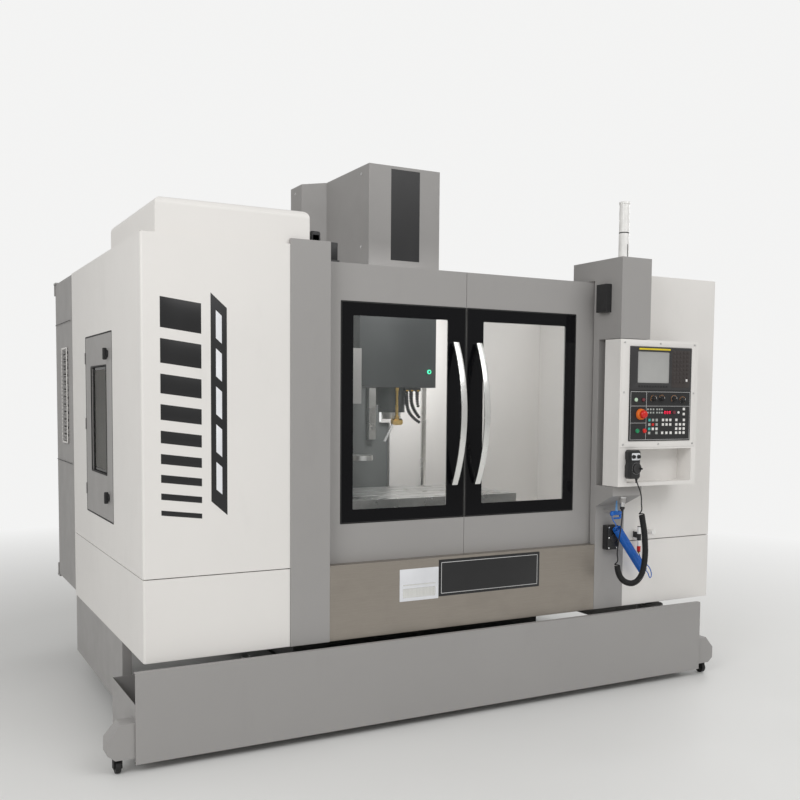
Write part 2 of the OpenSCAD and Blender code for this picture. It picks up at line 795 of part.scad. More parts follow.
// Side door
module side_door() {
  g = side_door_gap;
  color(grey) place() {
    difference() {
      union() {
        tray([-hw, side_door_y0 + g, side_door_z0 + g], [-hw + side_leaf_t, side_door_y1 - g, side_door_z1 - g], [1, 0, 0]);
        block([-hw, side_glass_y0 - 20, side_glass_z0 - 20], [-hw + 14, side_glass_y1 + 20, side_glass_z1 + 20]);
        for (z = [latch_z0, latch_z1])
          block([-hw, latch_y - 25, z - 25], [-hw + 18, latch_y + 25, z + 25]);
      }
      block([-hw - 1, side_glass_y0, side_glass_z0], [-hw + side_leaf_t, side_glass_y1, side_glass_z1]);
      block([-hw + 8 - seat, side_glass_y0 - 10, side_glass_z0 - 10], [-hw + side_leaf_t, side_glass_y1 + 10, side_glass_z1 + 10]);
      for (z = [latch_z0, latch_z1]) rod_x([-hw - 1, latch_y, z], latch_stem_r + fit, 22);
    }
    // Hinge pins, and the washer that carries the door
    rod_z([-hw + side_axis_in, side_door_y1 - side_axis_back, side_door_z0 + seat], 5.5, g - seat + 1);
    for (z = [side_door_z0 - 6, side_door_z1 - 40])
      rod_z([-hw + side_axis_in, side_door_y1 - side_axis_back, z], side_pin_r, 46);
  }
}
module side_window() {
  color(glass) place() block([-hw + 8, side_glass_y0 - 9, side_glass_z0 - 9], [-hw + 13, side_glass_y1 + 9, side_glass_z1 + 9]);
}
module side_latch(z) {
  color(black) place() {
    rod_x([-hw - seat - 8, latch_y, z], 16, 8);
    block([-hw - seat - 22, latch_y - 5, z - 26], [-hw - seat - 7, latch_y + 5, z + 26]);
    rod_x([-hw - 2, latch_y, z], latch_stem_r, 20);
  }
}
module side_latch_upper() {
  side_latch(latch_z1);
}
module side_latch_lower() {
  side_latch(latch_z0);
}

// Saddle, table and head
module saddle() {
  color(cast_green) place() {
    difference() {
      block([-saddle_l / 2, spindle_y - saddle_d / 2, saddle_z0], [saddle_l / 2, spindle_y + saddle_d / 2, saddle_top]);
      block([-saddle_l / 2 + 60, spindle_y - 60, saddle_top - 25], [saddle_l / 2 - 60, spindle_y + 60, saddle_top + 1]);
    }
    // Rails of the table
    for (s = [-1, 1])
      block([-saddle_l / 2, spindle_y + s * x_rail_dy - rail_w / 2, saddle_top - 1],
        [saddle_l / 2, spindle_y + s * x_rail_dy + rail_w / 2, saddle_top + rail_h]);
    // Bearing blocks of the table's screw
    for (s = [-1, 1]) difference() {
      block([s * (saddle_l / 2 - 25) - 20, spindle_y - 40, saddle_top - 1], [s * (saddle_l / 2 - 25) + 20, spindle_y + 40, x_screw_z + 26]);
      rod_x([s * (saddle_l / 2 - 25) - 21, spindle_y, x_screw_z], screw_r + fit, 42);
    }
    // Carriages on the bed's rails
    for (s = [-1, 1]) for (t = [-1, 1]) difference() {
      block([s * y_rail_x - 60, spindle_y + t * 180 - 65, bed_top + 6], [s * y_rail_x + 60, spindle_y + t * 180 + 65, saddle_z0 + 1]);
      block([s * y_rail_x - rail_w / 2 - seat, spindle_y + t * 180 - 66, bed_top], [s * y_rail_x + rail_w / 2 + seat, spindle_y + t * 180 + 66, bed_top + rail_h + seat]);
    }
    // Nut of the cross axis
    difference() {
      block([-50, spindle_y - 45, bed_top - 30], [50, spindle_y + 45, saddle_z0 + 1]);
      rod_y([0, spindle_y - 46, y_screw_z], screw_r + fit, 92);
    }
    // Motor of the table's screw
    block([saddle_l / 2, spindle_y - 60, saddle_z0 + 20], [saddle_l / 2 + 30, spindle_y + 60, x_screw_z + 20]);
    block([saddle_l / 2 + 29, spindle_y - 50, saddle_z0 + 20], [saddle_l / 2 + 180, spindle_y + 50, saddle_top - 10]);
  }
}
module table() {
  z0 = table_z - table_t;
  color(steel) place() {
    difference() {
      block([-table_l / 2, spindle_y - table_w / 2, z0], [table_l / 2, spindle_y + table_w / 2, table_z]);
      for (k = [-2:2]) {
        block([-table_l / 2 - 1, spindle_y + k * slot_pitch - slot_w / 2, table_z - 32],
          [table_l / 2 + 1, spindle_y + k * slot_pitch + slot_w / 2, table_z + 1]);
        block([-table_l / 2 - 1, spindle_y + k * slot_pitch - slot_w * 0.9, table_z - 34],
          [table_l / 2 + 1, spindle_y + k * slot_pitch + slot_w * 0.9, table_z - 18]);
      }
    }
    // Carriages on the saddle's rails
    for (s = [-1, 1]) for (t = [-1, 1]) difference() {
      block([s * 130 - 50, spindle_y + t * x_rail_dy - 50, saddle_top + 5], [s * 130 + 50, spindle_y + t * x_rail_dy + 50, z0 + 1]);
      block([s * 130 - 51, spindle_y + t * x_rail_dy - rail_w / 2 - seat, saddle_top], [s * 130 + 51, spindle_y + t * x_rail_dy + rail_w / 2 + seat, saddle_top + rail_h + seat]);
    }
    // Nut
    difference() {
      block([-40, spindle_y - 35, x_screw_z - 26], [40, spindle_y + 35, z0 + 1]);
      rod_x([-41, spindle_y, x_screw_z], screw_r + fit, 82);
    }
  }
}
module head() {
  color(dark_grey) place() {
    difference() {
      union() {
        difference() {
          block([-head_hw, head_y, head_z0], [head_hw, head_neck, head_top]);
          // Bevelled front left corner
          translate([0, 0, head_z0 - 1]) linear_extrude(head_top - head_z0 + 2)
            polygon([[-head_hw - 1, head_y - 1], [-head_hw + chamfer[0], head_y - 1], [-head_hw + chamfer[0], head_y],
              [-head_hw, head_y + chamfer[1]], [-head_hw - 1, head_y + chamfer[1]]]);
        }
        block([-head_hw + 30, head_neck - 1, head_z0 + 60], [head_hw - 30, slide_y, head_top - 40]);
        rod_z([0, spindle_y, head_z0 - 90], 82, 91);
        rod_z([0, spindle_y, head_z0 - 130], 70, 41);
      }
      rod_z([0, spindle_y, head_z0 - 131], 50 + fit, 300);
      // Hollow behind the spindle
      block([-head_hw + 40, spindle_y + 130, head_z0 + 40], [head_hw - 40, head_neck - 60, head_top + 1]);
    }
    // Carriages on the column's rails
    block([-z_rail_x - 50, slide_y - 60, head_z0 + 60], [z_rail_x + 50, slide_y, head_top - 40]);
    for (s = [-1, 1]) for (z = [head_z0 + 100, head_top - 200]) difference() {
      block([s * z_rail_x - 50, slide_y - 1, z], [s * z_rail_x + 50, column_y - 6, z + 120]);
      block([s * z_rail_x - rail_w / 2 - seat, rail_y - seat, z - 1], [s * z_rail_x + rail_w / 2 + seat, column_y + 1, z + 121]);
    }
    // Nut
    difference() {
      block([-50, slide_y - 1, head_z0 + 220], [50, column_y + 30, head_z0 + 300]);
      rod_z([0, z_screw_y, head_z0 + 219], screw_r + fit, 82);
    }
    // Spindle motor under the cover
    rod_z([0, spindle_y, head_top - 1], 110, 380);
    block([-120, spindle_y - 120, head_top - 1], [120, spindle_y + 120, head_top + 24]);
  }
}
// Outline of the head's cover in plan, drawn inside itself by an inset
module cover_plan(i) {
  polygon([[-head_hw + i, cover_front + i], [head_hw - i, cover_front + i], [head_hw - i, head_neck],
    [cover_x - i, head_neck + 102], [cover_x - i, slide_y - 5], [-cover_x + i, slide_y - 5],
    [-cover_x + i, head_neck + 102], [-head_hw + i, head_neck]]);
}
module head_cover() {
  z0 = head_top + seat;
  color(grey) place() difference() {
    translate([0, 0, z0]) linear_extrude(cover_top - z0) cover_plan(0);
    translate([0, 0, z0 - 1]) linear_extrude(cover_top - sheet - z0 + 1) cover_plan(sheet);
    block([-cover_x + sheet, slide_y - 40, z0 - 1], [cover_x - sheet, slide_y, cover_top - sheet]);
  }
}
module spindle() {
  color(steel) place() difference() {
    union() {
      rod_z([0, spindle_y, nose_z], 49, 30);
      rod_z([0, spindle_y, nose_z + 29], 50, 250);
    }
    // Taper for the tool holder, seven in twenty four
    translate([0, spindle_y, nose_z - 0.01]) cylinder(r1 = 22.2, r2 = 22.2 - 68 * 7 / 48, h = 68, $fn = 96);
    rod_z([0, spindle_y, nose_z + 67], 9, 230);
  }
}
// Beads of the jointed nozzles: place across, and height from the head's underside
nozzle_lines = [
  [[38, -24], [38, -38], [39, -52], [40, -66], [41, -80], [43, -94], [46, -108], [51, -121], [58, -133], [67, -144],
    [77, -154], [88, -163], [100, -171], [112, -179]],
  [[66, -24], [66, -38], [66, -52], [67, -66], [69, -80], [73, -93], [79, -106], [86, -118], [94, -130], [103, -141],
    [112, -152]],
  [[102, -24], [102, -38], [102, -52], [103, -66], [105, -80], [108, -94]]];
module coolant_nozzles() {
  color(black) place() {
    // Manifold plate under the head
    block([24, spindle_y - 106, head_z0 - 18], [118, spindle_y - 85, head_z0 - seat]);
    for (line = nozzle_lines) for (p = line)
      translate([p[0], spindle_y - 95, head_z0 + p[1]]) sphere(r = 9, $fn = 24);
    // Rinse valve with its lever
    rod_z([-20, spindle_y - 98, head_z0 - 170], 8, 170 - seat);
    rod_x([-42, spindle_y - 98, head_z0 - 178], 15, 44);
    translate([-36, spindle_y - 98, head_z0 - 178]) rotate([0, 28, 0]) translate([-5, -4, -118]) cube([10, 8, 118]);
  }
}

// Control box on its swivel
module control_box() {
  x0 = way_x1;
  x1 = way_x1 + box_w;
  y0 = -horn_reach;
  y1 = -box_back;
  nx1 = niche_x0 + niche_w;
  color(white) place() {
    difference() {
      block([x0, y0, box_z0], [x1, y1, box_z1]);
      // Inside of the casing, round the niche and the units
      difference() {
        block([x0 + sheet, y0 + sheet, box_z0 + sheet], [x1 - sheet, y1 - sheet, box_z1 - sheet]);
        block([niche_x0 - sheet, y0, box_z0], [nx1 + sheet, y1, niche_z0 + niche_h + sheet]);
      }
      block([unit_x0 - seat, y0 - 1, keys_z0 - seat], [unit_x0 + unit_w + seat, y0 + sheet + 1, display_z0 + display_h + seat]);
      // Shelf niche
      block([niche_x0, y0 - 1, niche_z0], [nx1, y1 - 17, niche_z0 + niche_h]);
      // Swivel bores
      rod_z([pivot_x, -pivot_f, box_z0 - 1], pivot_r + fit, 13);
      rod_z([pivot_x, -pivot_f, box_z1 - sheet - 1], pivot_r + fit, sheet + 2);
    }
    // Ledge that carries the operator panel and the display
    block([unit_x0, y0 + sheet - 1, keys_z0 - 12], [unit_x0 + unit_w, y0 + 40, keys_z0 - seat]);
    // Hook for the pendant
    block([niche_x0 - 1, y0, niche_z0 + 60], [niche_x0 + pendant_w - 6, y0 + 8, niche_z0 + 100]);
  }
}
module display_unit() {
  color(dark_grey) place() {
    block([unit_x0, -unit_front, display_z0], [unit_x0 + unit_w, -horn_reach + 45, display_z0 + display_h]);
  }
}
module operator_panel() {
  color(black) place() difference() {
    block([unit_x0, -unit_front, keys_z0], [unit_x0 + unit_w, -horn_reach + 35, display_z0 - seat]);
    for (p = panel_pegs) rod_y([p[0], -unit_front - 1, p[1]], p[2] + 0.1, 30);
  }
}
// Pegs in the operator panel: place across and up, and stem radius
stop_at = [unit_x0 + 70, keys_z0 + 129];
start_at = [unit_x0 + 49, keys_z0 + 49];
halt_at = [unit_x0 + 95, keys_z0 + 49];
mode_at = [unit_x0 + 152, keys_z0 + 204];
feed_at = [unit_x0 + 285, keys_z0 + 204];
stem_r = 6;
panel_pegs = [[stop_at[0], stop_at[1], stem_r], [start_at[0], start_at[1], button_r],
  [halt_at[0], halt_at[1], button_r], [mode_at[0], mode_at[1], stem_r], [feed_at[0], feed_at[1], stem_r]];
module emergency_stop() {
  color([0.80, 0.08, 0.06]) place() {
    rod_y([stop_at[0], -unit_front - 20, stop_at[1]], stem_r, 35);
    rod_y([stop_at[0], -unit_front - 34, stop_at[1]], stop_r, 16);
    rod_y([stop_at[0], -unit_front - 38, stop_at[1]], stop_r - 4, 5);
  }
}
module push_button(p) {
  rod_y([p[0], -unit_front - 8, p[1]], button_r, 28);
}
module start_button() {
  color([0.10, 0.55, 0.25]) place() push_button(start_at);
}
module stop_button() {
  color([0.80, 0.10, 0.12]) place() push_button(halt_at);
}
module knob(p) {
  rod_y([p[0], -unit_front - 6, p[1]], stem_r, 24);
  rod_y([p[0], -unit_front - 16 - seat, p[1]], knob_r, 16);
  block([p[0] - 2.5, -unit_front - 18 - seat, p[1] - knob_r + 1], [p[0] + 2.5, -unit_front - 15, p[1] + knob_r - 1]);
}
module mode_knob() {
  color(black) place() knob(mode_at);
}
module feed_knob() {
  color(black) place() knob(feed_at);
}

// Hand pendant, hung in front of the niche's left end
pendant_x = niche_x0 - 16;
pendant_z = niche_z0 + 22;
pendant_y = -(horn_reach + seat);
wheel_at = [pendant_x + pendant_w / 2 + 6, pendant_z + 50];
module pendant() {
  color(black) place() difference() {
    block([pendant_x, pendant_y - pendant_d, pendant_z], [pendant_x + pendant_w, pendant_y, pendant_z + pendant_h]);
    rod_y([wheel_at[0], pendant_y - pendant_d - 1, wheel_at[1]], stem_r + fit, 20);
  }
}
module pendant_wheel() {
  y = pendant_y - pendant_d;
  color(black) place() {
    rod_y([wheel_at[0], y - 3, wheel_at[1]], stem_r, 20);
    rod_y([wheel_at[0], y - seat - 8, wheel_at[1]], 24, 8);
    rod_y([wheel_at[0] + 14, -(unit_front + pendant_d + 8 + wheel_front), wheel_at[1]], 4, wheel_front + 5);
  }
}

// Routes of the pendant's cord and of the air hose
cord_r = 3;
curl_r = 15;
plug_z = 905;
plug_l = 44;
cord_upper = [[pivot_x, -pivot_f, 905], [806, -104, 880], [803, -104, 850], [796, -105, 810], [786, -107, 765],
  [777, -109, 720], [773, -111, 680], [774, -112, 655]];
curl_route = [[774, -112, 655], [775, -113, 632], [781, -115, 605], [794, -118, 580], [815, -122, 561],
  [842, -127, 551], [868, -131, 552], [889, -136, 565], [903, -141, 588], [911, -146, 620], [914, -151, 660],
  [912, -156, 708], [904, -161, 760], [892, -166, 815], [877, -170, 865], [865, -174, 905]];
cord_lower = [[865, -174, 905], [861, -176, 928], [860, -178, 952], [857, -180, 977], [851, -181, 1000],
  [842, -181, 1021], [832, -181, 1040], [824, -181, 1057], [821, -181, 1072]];
hose_r = 2.5;
coil_r = 23;
coil_route = [[795, -62, 835], [1000, -62, 575]];
hose_upper = [[780, -60, 880], [780, -60, 868], [781, -61, 857], [786, -62, 846], [795, -62, 835]];
hose_lower = [[1000, -62, 575], [1012, -62, 561], [1028, -60, 553], [1044, -57, 559], [1050, -53, 577],
  [1043, -48, 600], [1025, -43, 620], [1004, -39, 638], [988, -37, 658], [979, -36, 684]];
// Sideways and upward directions of the plane that a ring lies in
function unit(v) = v / norm(v);
function tangent(p, i) = unit(p[min(i + 1, len(p) - 1)] - p[max(i - 1, 0)]);
function side_of(t) = unit(cross(t, abs(t[1]) > 0.9 ? [1, 0, 0] : [0, 1, 0]));
// A tube along a route, with flat ends
module tube(p, r, n) {
  rings = len(p);
  points = [for (i = [0:rings - 1]) let (t = tangent(p, i), u = side_of(t), v = cross(t, u))
    for (k = [0:n - 1]) p[i] + r * (cos(360 * k / n) * u + sin(360 * k / n) * v)];
  faces = concat([[for (k = [0:n - 1]) n - 1 - k]], [[for (k = [0:n - 1]) (rings - 1) * n + k]],
    [for (i = [0:rings - 2]) for (k = [0:n - 1]) let (m = (k + 1) % n)
      [i * n + k, i * n + m, (i + 1) * n + m, (i + 1) * n + k]]);
  polyhedron(points = points, faces = [for (f = faces) [for (j = [len(f) - 1:-1:0]) f[j]]]);
}
module pendant_cord() {
  color(black) place() {
    tube(cord_upper, cord_r, 8);
    tube(cord_lower, cord_r, 8);
  }
}
module pendant_curl() {
  color(black) place() tube(curl_route, curl_r, 12);
}
module pendant_plug() {
  color(steel) place() {
    rod_z([pivot_x, -pivot_f, plug_z], 8, plug_l);
    rod_z([pivot_x, -pivot_f, plug_z + 18], 12, plug_l - 18);
  }
}
valve_at = [979, -36, 684];
gun_at = [780, -60, 880];
gun_r = 10;
module air_gun() {
  color(air_blue) place() {
    // Body, nozzle and trigger, hung nozzle up on the pillar's hook
    rod_z(gun_at, gun_r, 34);
    rod_z(gun_at + [0, 0, 33], 4, 33);
    block(gun_at + [-5, -26, 4], gun_at + [5, -19, 30]);
    block(gun_at + [-5, -20, 24], gun_at + [5, 0, 30]);
  }
}
module air_hose() {
  color(air_blue) place() {
    tube(hose_upper, hose_r, 8);
    tube(hose_lower, hose_r, 8);
  }
}
module air_coil() {
  d = coil_route[1] - coil_route[0];
  color(air_blue) place() translate(coil_route[0]) rotate([0, acos(d[2] / norm(d)), atan2(d[1], d[0])])
    cylinder(r = coil_r, h = norm(d), $fn = 48);
}

// Coolant tank and its castors
module coolant_tank() {
  y0 = -tank_reach;
  color(grey) place() {
    // Front plate with a folded upper and lower edge
    difference() {
      block([tank_x0, y0, tank_z0], [tank_x1, y0 + 25, tank_z1]);
      block([tank_x0 - 1, y0 + sheet, tank_z0 + sheet], [tank_x1 + 1, y0 + 26, tank_z1 - sheet]);
    }
    // Open tray
    difference() {
      block([tank_x0 + 4, y0 + sheet - 1, tray_z0], [tank_x1 - 4, y0 + tank_d, tray_z0 + tray_h]);
      block([tank_x0 + 4 + sheet, y0 + 2 * sheet, tray_z0 + sheet], [tank_x1 - 4 - sheet, y0 + tank_d - sheet, tray_z0 + 1 + tray_h]);
    }
    // Pump at the right end
    rod_z([tank_x1 - 150, y0 + 220, tray_z0 + sheet - 1], 60, 200);
    rod_z([tank_x1 - 150, y0 + 220, 260], 70, 100);
    // Castor brackets
    for (s = [-1, 1]) ear(s, y0 + 8);
  }
}
// A five-sided castor bracket at an end of the tank
module ear(s, y) {
  end = s < 0 ? tank_x0 + 5 : tank_x1 - 5;
  translate([end, y, 0]) mirror([s < 0 ? 1 : 0, 0, 0]) translate([0, 80, 0]) rotate([90, 0, 0])
    linear_extrude(80) polygon([[0, ear_z0], [ear_w - 25, ear_z0], [ear_w + 5, 85], [ear_w + 5, 140], [ear_w - 45, 198], [0, 198]]);
}
module castors() {
  // The front ones stand under the brackets, and the rear ones under the tray
  front = ear_w - 45;
  color(black) place() {
    for (x = [tank_x0 - front, tank_x1 + front]) castor(x, -tank_reach + 48, ear_z0);
    for (x = [tank_x0 + 80, tank_x1 - 80]) castor(x, tank_d - tank_reach - 50, tray_z0);
  }
}
module castor(x, y, seat_z) {
  rod_x([x - 10, y, castor_r], castor_r, 20);
  for (t = [-1, 1]) block([x + t * 14 - 3, y - 14, castor_r - 8], [x + t * 14 + 3, y + 14, seat_z - 4]);
  block([x - 17, y - 20, seat_z - 7], [x + 17, y + 20, seat_z]);
  rod_x([x - 16, y, castor_r], 5, 32);
}

bed();
levelling_feet();
column();
guide_rails();
axis_motors();
left_panel();
right_panel();
skirts();
left_post();
right_pillar();
rear_panels();
apron();
door_track();
magazine_cover();
splash_pans();
cabinet();
signal_lamp();
front_fittings();
tool_changer_body();
left_door();
left_window();
left_handle();
right_door();
right_window();
right_handle();
side_door();
side_window();
side_latch_upper();
side_latch_lower();
cabinet_door();
main_switch();
saddle();
table();
x_screw();
y_screw();
z_screw();
head();
head_cover();
spindle();
coolant_nozzles();
magazine_disc();
changer_arm();
control_box();
display_unit();
operator_panel();
emergency_stop();
start_button();
stop_button();
mode_knob();
feed_knob();
pendant();
pendant_wheel();
pendant_cord();
pendant_curl();
pendant_plug();
air_gun();
air_hose();
air_coil();
coolant_tank();
castors();
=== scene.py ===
"""The looks of a vertical machining centre, dressed on its packed frame."""

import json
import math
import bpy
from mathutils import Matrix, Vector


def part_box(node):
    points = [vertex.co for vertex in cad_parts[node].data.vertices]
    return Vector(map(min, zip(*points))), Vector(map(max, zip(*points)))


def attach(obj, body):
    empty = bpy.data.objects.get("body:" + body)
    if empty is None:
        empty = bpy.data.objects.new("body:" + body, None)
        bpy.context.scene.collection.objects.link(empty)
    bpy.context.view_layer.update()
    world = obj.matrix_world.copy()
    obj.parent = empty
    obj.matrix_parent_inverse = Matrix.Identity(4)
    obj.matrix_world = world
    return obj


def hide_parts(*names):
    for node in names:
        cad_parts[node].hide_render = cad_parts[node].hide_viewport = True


bl_info = {
    "name": "Machining centre",
    "version": (1, 0, 0),
    "blender": (4, 5, 0),
    "location": "View3D > Sidebar > Machine",
    "description": "Finishes, windows, controls, hoses and small parts of a vertical machining centre",
    "category": "Object",
}

import bmesh
import bpy
from bpy.props import FloatProperty, FloatVectorProperty, IntProperty, PointerProperty
from mathutils import Matrix, Vector

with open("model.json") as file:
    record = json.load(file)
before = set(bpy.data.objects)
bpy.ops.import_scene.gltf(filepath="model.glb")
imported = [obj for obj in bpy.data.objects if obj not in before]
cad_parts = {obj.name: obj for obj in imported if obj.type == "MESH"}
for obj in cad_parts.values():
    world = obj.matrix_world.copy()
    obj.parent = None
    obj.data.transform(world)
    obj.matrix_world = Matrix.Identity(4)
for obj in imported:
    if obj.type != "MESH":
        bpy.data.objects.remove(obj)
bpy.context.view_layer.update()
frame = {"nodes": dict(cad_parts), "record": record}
MM = 0.001

# The enclosure's front face and its middle, from which every piece is placed
ENCLOSURE_LOW, ENCLOSURE_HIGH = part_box("left_panel")[0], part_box("right_panel")[1]
MIDDLE_X = (ENCLOSURE_LOW.x + ENCLOSURE_HIGH.x) / 2
FRONT_Y = ENCLOSURE_LOW.y

# Faces and a row that several pieces share, in millimetres from the enclosure's front middle
SIDE_FACE = -1500
HEAD_UNDERSIDE = 1505
NOZZLE_ROW = 705

# The background, and the floor far from the machine
PALE = (0.90, 0.90, 0.895, 1)

# Which way a flat piece faces: its own X and Y lie along these directions, and its Z points outwards
TO_FRONT = Matrix(((1, 0, 0), (0, 0, -1), (0, 1, 0))).to_4x4()
TO_LEFT = Matrix(((0, 0, -1), (-1, 0, 0), (0, 1, 0))).to_4x4()


def at(x, y, z):
    """A place in millimetres from the middle of the enclosure's front edge on the floor."""
    return Vector((MIDDLE_X + x * MM, FRONT_Y + y * MM, z * MM))


def from_row(point):
    """The same place the other way: millimetres from the enclosure's front middle."""
    return Vector(((point.x - MIDDLE_X) / MM, (point.y - FRONT_Y) / MM, point.z / MM))


def box_mm(node):
    """A frame node's lowest and highest corners, in millimetres from the enclosure's front middle."""
    low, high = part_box(node)
    return from_row(low), from_row(high)


def front_middle(node):
    """A frame node's middle as seen from the front, across and up, to the nearest millimetre."""
    low, high = box_mm(node)
    return round((low.x + high.x) / 2), round((low.z + high.z) / 2)


# Settings
def length(label, text, millimetres, low=0.0, high=10000.0):
    """A size that a user can change, kept in metres."""
    return FloatProperty(name=label, description=text, default=millimetres * MM, min=low * MM,
                         max=high * MM, subtype="DISTANCE", unit="LENGTH")


def colour(label, text, value):
    """A colour that a user can change."""
    return FloatVectorProperty(name=label, description=text, default=value, size=3, subtype="COLOR",
                               min=0.0, max=1.0)


class FinishSettings(bpy.types.PropertyGroup):
    """Colours of the paint and of the bare metal."""

    white_paint: colour("White paint", "Colour of the white panels", (0.79, 0.77, 0.745))
    grey_paint: colour("Grey paint", "Colour of the grey post, doors and tank", (0.335, 0.325, 0.318))
    casting_paint: colour("Casting paint", "Colour of the bed and the column", (0.11, 0.116, 0.114))
    dark_paint: colour("Dark paint", "Colour of the head", (0.044, 0.047, 0.049))
    stainless: colour("Stainless", "Colour of the apron's brushed sheet", (0.36, 0.325, 0.285))
    steel: colour("Steel", "Colour of ground steel", (0.62, 0.62, 0.61))
    edge_round: length("Edge rounding", "Width of the rounding on sheet edges", 1.5, 0.2, 4)


class WindowSettings(bpy.types.PropertyGroup):
    """The glazing of the doors."""

    near_border: length("Near border", "Width of the black border at the meeting line", 90, 60, 130)
    far_border: length("Far border", "Width of the black border at the other edges", 57, 40, 80)
    corner: length("Corner radius", "Radius of the clear glass corners", 5, 1, 30)
    handle_width: length("Handle width", "Width of the flat handle bar", 30, 20, 40)
    handle_thickness: length("Handle thickness", "Thickness of the flat handle bar", 8, 5, 12)


class ControlSettings(bpy.types.PropertyGroup):
    """Keys, knobs and buttons of the control box."""

    key_size: length("Key size", "Width and height of a key cap", 11.5, 8, 16)
    key_rise: length("Key rise", "How far a key cap stands out", 1.6, 0.5, 4)
    line_width: length("Line width", "Width of the white dividing lines", 1.6, 0.5, 3)
    screw_radius: length("Screw radius", "Radius of the face plate's screw heads", 4, 2, 6)


class CordSettings(bpy.types.PropertyGroup):
    """The pendant's curly cord and the coiled air hose."""

    cord_radius: length("Cord radius", "Radius of the pendant's cord", 3, 2, 5)
    curl_radius: length("Curl radius", "Radius of the curl to the middle of the cord", 12, 6, 20)
    hose_radius: length("Hose radius", "Radius of the air hose", 2.5, 2, 5)
    coil_radius: length("Coil radius", "Radius of the hose's coil to the middle of the hose", 20.5, 12, 30)
    points_per_turn: IntProperty(name="Points per turn", description="Points on one turn of a coil",
                                 default=14, min=12, max=32)


class StageSettings(bpy.types.PropertyGroup):
    """The camera, the lamps and the floor."""

    camera_place: FloatVectorProperty(name="Camera place", description="Where the camera stands", size=3,
        default=(-2.2937, -4.6715, 1.4488), subtype="TRANSLATION", unit="LENGTH")
    yaw: FloatProperty(name="Yaw", description="Turn of the camera about the upright",
                       default=math.radians(-28.263), subtype="ANGLE", unit="ROTATION")
    pitch: FloatProperty(name="Pitch", description="Tilt of the camera", default=math.radians(-3.72),
                         subtype="ANGLE", unit="ROTATION")
    roll: FloatProperty(name="Roll", description="Roll of the camera", default=math.radians(0.461),
                        subtype="ANGLE", unit="ROTATION")
    lens: FloatProperty(name="Lens", description="Focal length in millimetres", default=43.25, min=20,
        max=100)
    rise: FloatProperty(name="Rise", description="Upward shift of the lens", default=0.076, min=-0.2,
        max=0.2)
    key_power: FloatProperty(name="Key lamp", description="Power of the large soft lamp", default=110,
                             min=0, unit="POWER")
    fill_power: FloatProperty(name="Fill lamp", description="Power of the lamp on the other side",
        default=115, min=0, unit="POWER")
    inner_power: FloatProperty(name="Work lamp", description="Power of the lamp inside the enclosure",
        default=9, min=0, unit="POWER")
    sky_strength: FloatProperty(name="Sky", description="Strength of the even light all round",
        default=0.55, min=0, max=3)
    floor_colour: colour("Floor", "Colour of the floor", (0.78, 0.78, 0.77))


# Materials
class Paintbox:
    """A new material with its shader and short calls for the nodes that feed it."""

    def __init__(self, name, base, roughness, metallic=0.0):
        self.material = bpy.data.materials.new(name)
        self.material.use_nodes = True
        self.tree = self.material.node_tree
        self.shader = self.tree.nodes["Principled BSDF"]
        self.shader.inputs["Base Color"].default_value = (*base, 1.0)
        self.shader.inputs["Roughness"].default_value = roughness
        self.shader.inputs["Metallic"].default_value = metallic
        self.place = self.add("ShaderNodeTexCoord").outputs["Object"]

    def add(self, kind, **settings):
        node = self.tree.nodes.new(kind)
        for key, value in settings.items():
            setattr(node, key, value)
        return node

    def link(self, output, target):
        self.tree.links.new(output, target)

    def noise(self, scale, detail=3.0, stretch=(1, 1, 1), rough=0.5):
        """Noise on Object coordinates, stretched along the axes."""
        mapping = self.add("ShaderNodeMapping")
        mapping.inputs["Scale"].default_value = stretch
        self.link(self.place, mapping.inputs["Vector"])
        texture = self.add("ShaderNodeTexNoise")
        texture.inputs["Scale"].default_value = scale
        texture.inputs["Detail"].default_value = detail
        texture.inputs["Roughness"].default_value = rough
        self.link(mapping.outputs["Vector"], texture.inputs["Vector"])
        return texture.outputs["Fac"]

    def span(self, value, low, high, from_low=0.3, from_high=0.7):
        """The value brought from one range to another."""
        node = self.add("ShaderNodeMapRange")
        node.inputs["From Min"].default_value = from_low
        node.inputs["From Max"].default_value = from_high
        node.inputs["To Min"].default_value = low
        node.inputs["To Max"].default_value = high
        self.link(value, node.inputs["Value"])
        return node.outputs["Result"]

    def tint(self, value, first, second):
        """A colour between a first one, which may come from another node, and a second one."""
        node = self.add("ShaderNodeMix", data_type="RGBA")
        self.link(value, node.inputs["Factor"])
        if isinstance(first, bpy.types.NodeSocket):
            self.link(first, node.inputs[6])
        else:
            node.inputs[6].default_value = (*first, 1.0)
        node.inputs[7].default_value = (*second, 1.0)
        return node.outputs[2]

    def bump(self, height, strength, distance):
        """Fine relief from a height."""
        node = self.add("ShaderNodeBump")
        node.inputs["Strength"].default_value = strength
        node.inputs["Distance"].default_value = distance
        self.link(height, node.inputs["Height"])
        self.link(node.outputs["Normal"], self.shader.inputs["Normal"])

    def colour_from(self, output):
        self.link(output, self.shader.inputs["Base Color"])

    def roughness_from(self, output):
        self.link(output, self.shader.inputs["Roughness"])


def shade(base, factor):
    """A colour made darker or lighter."""
    return tuple(min(1.0, c * factor) for c in base[:3])


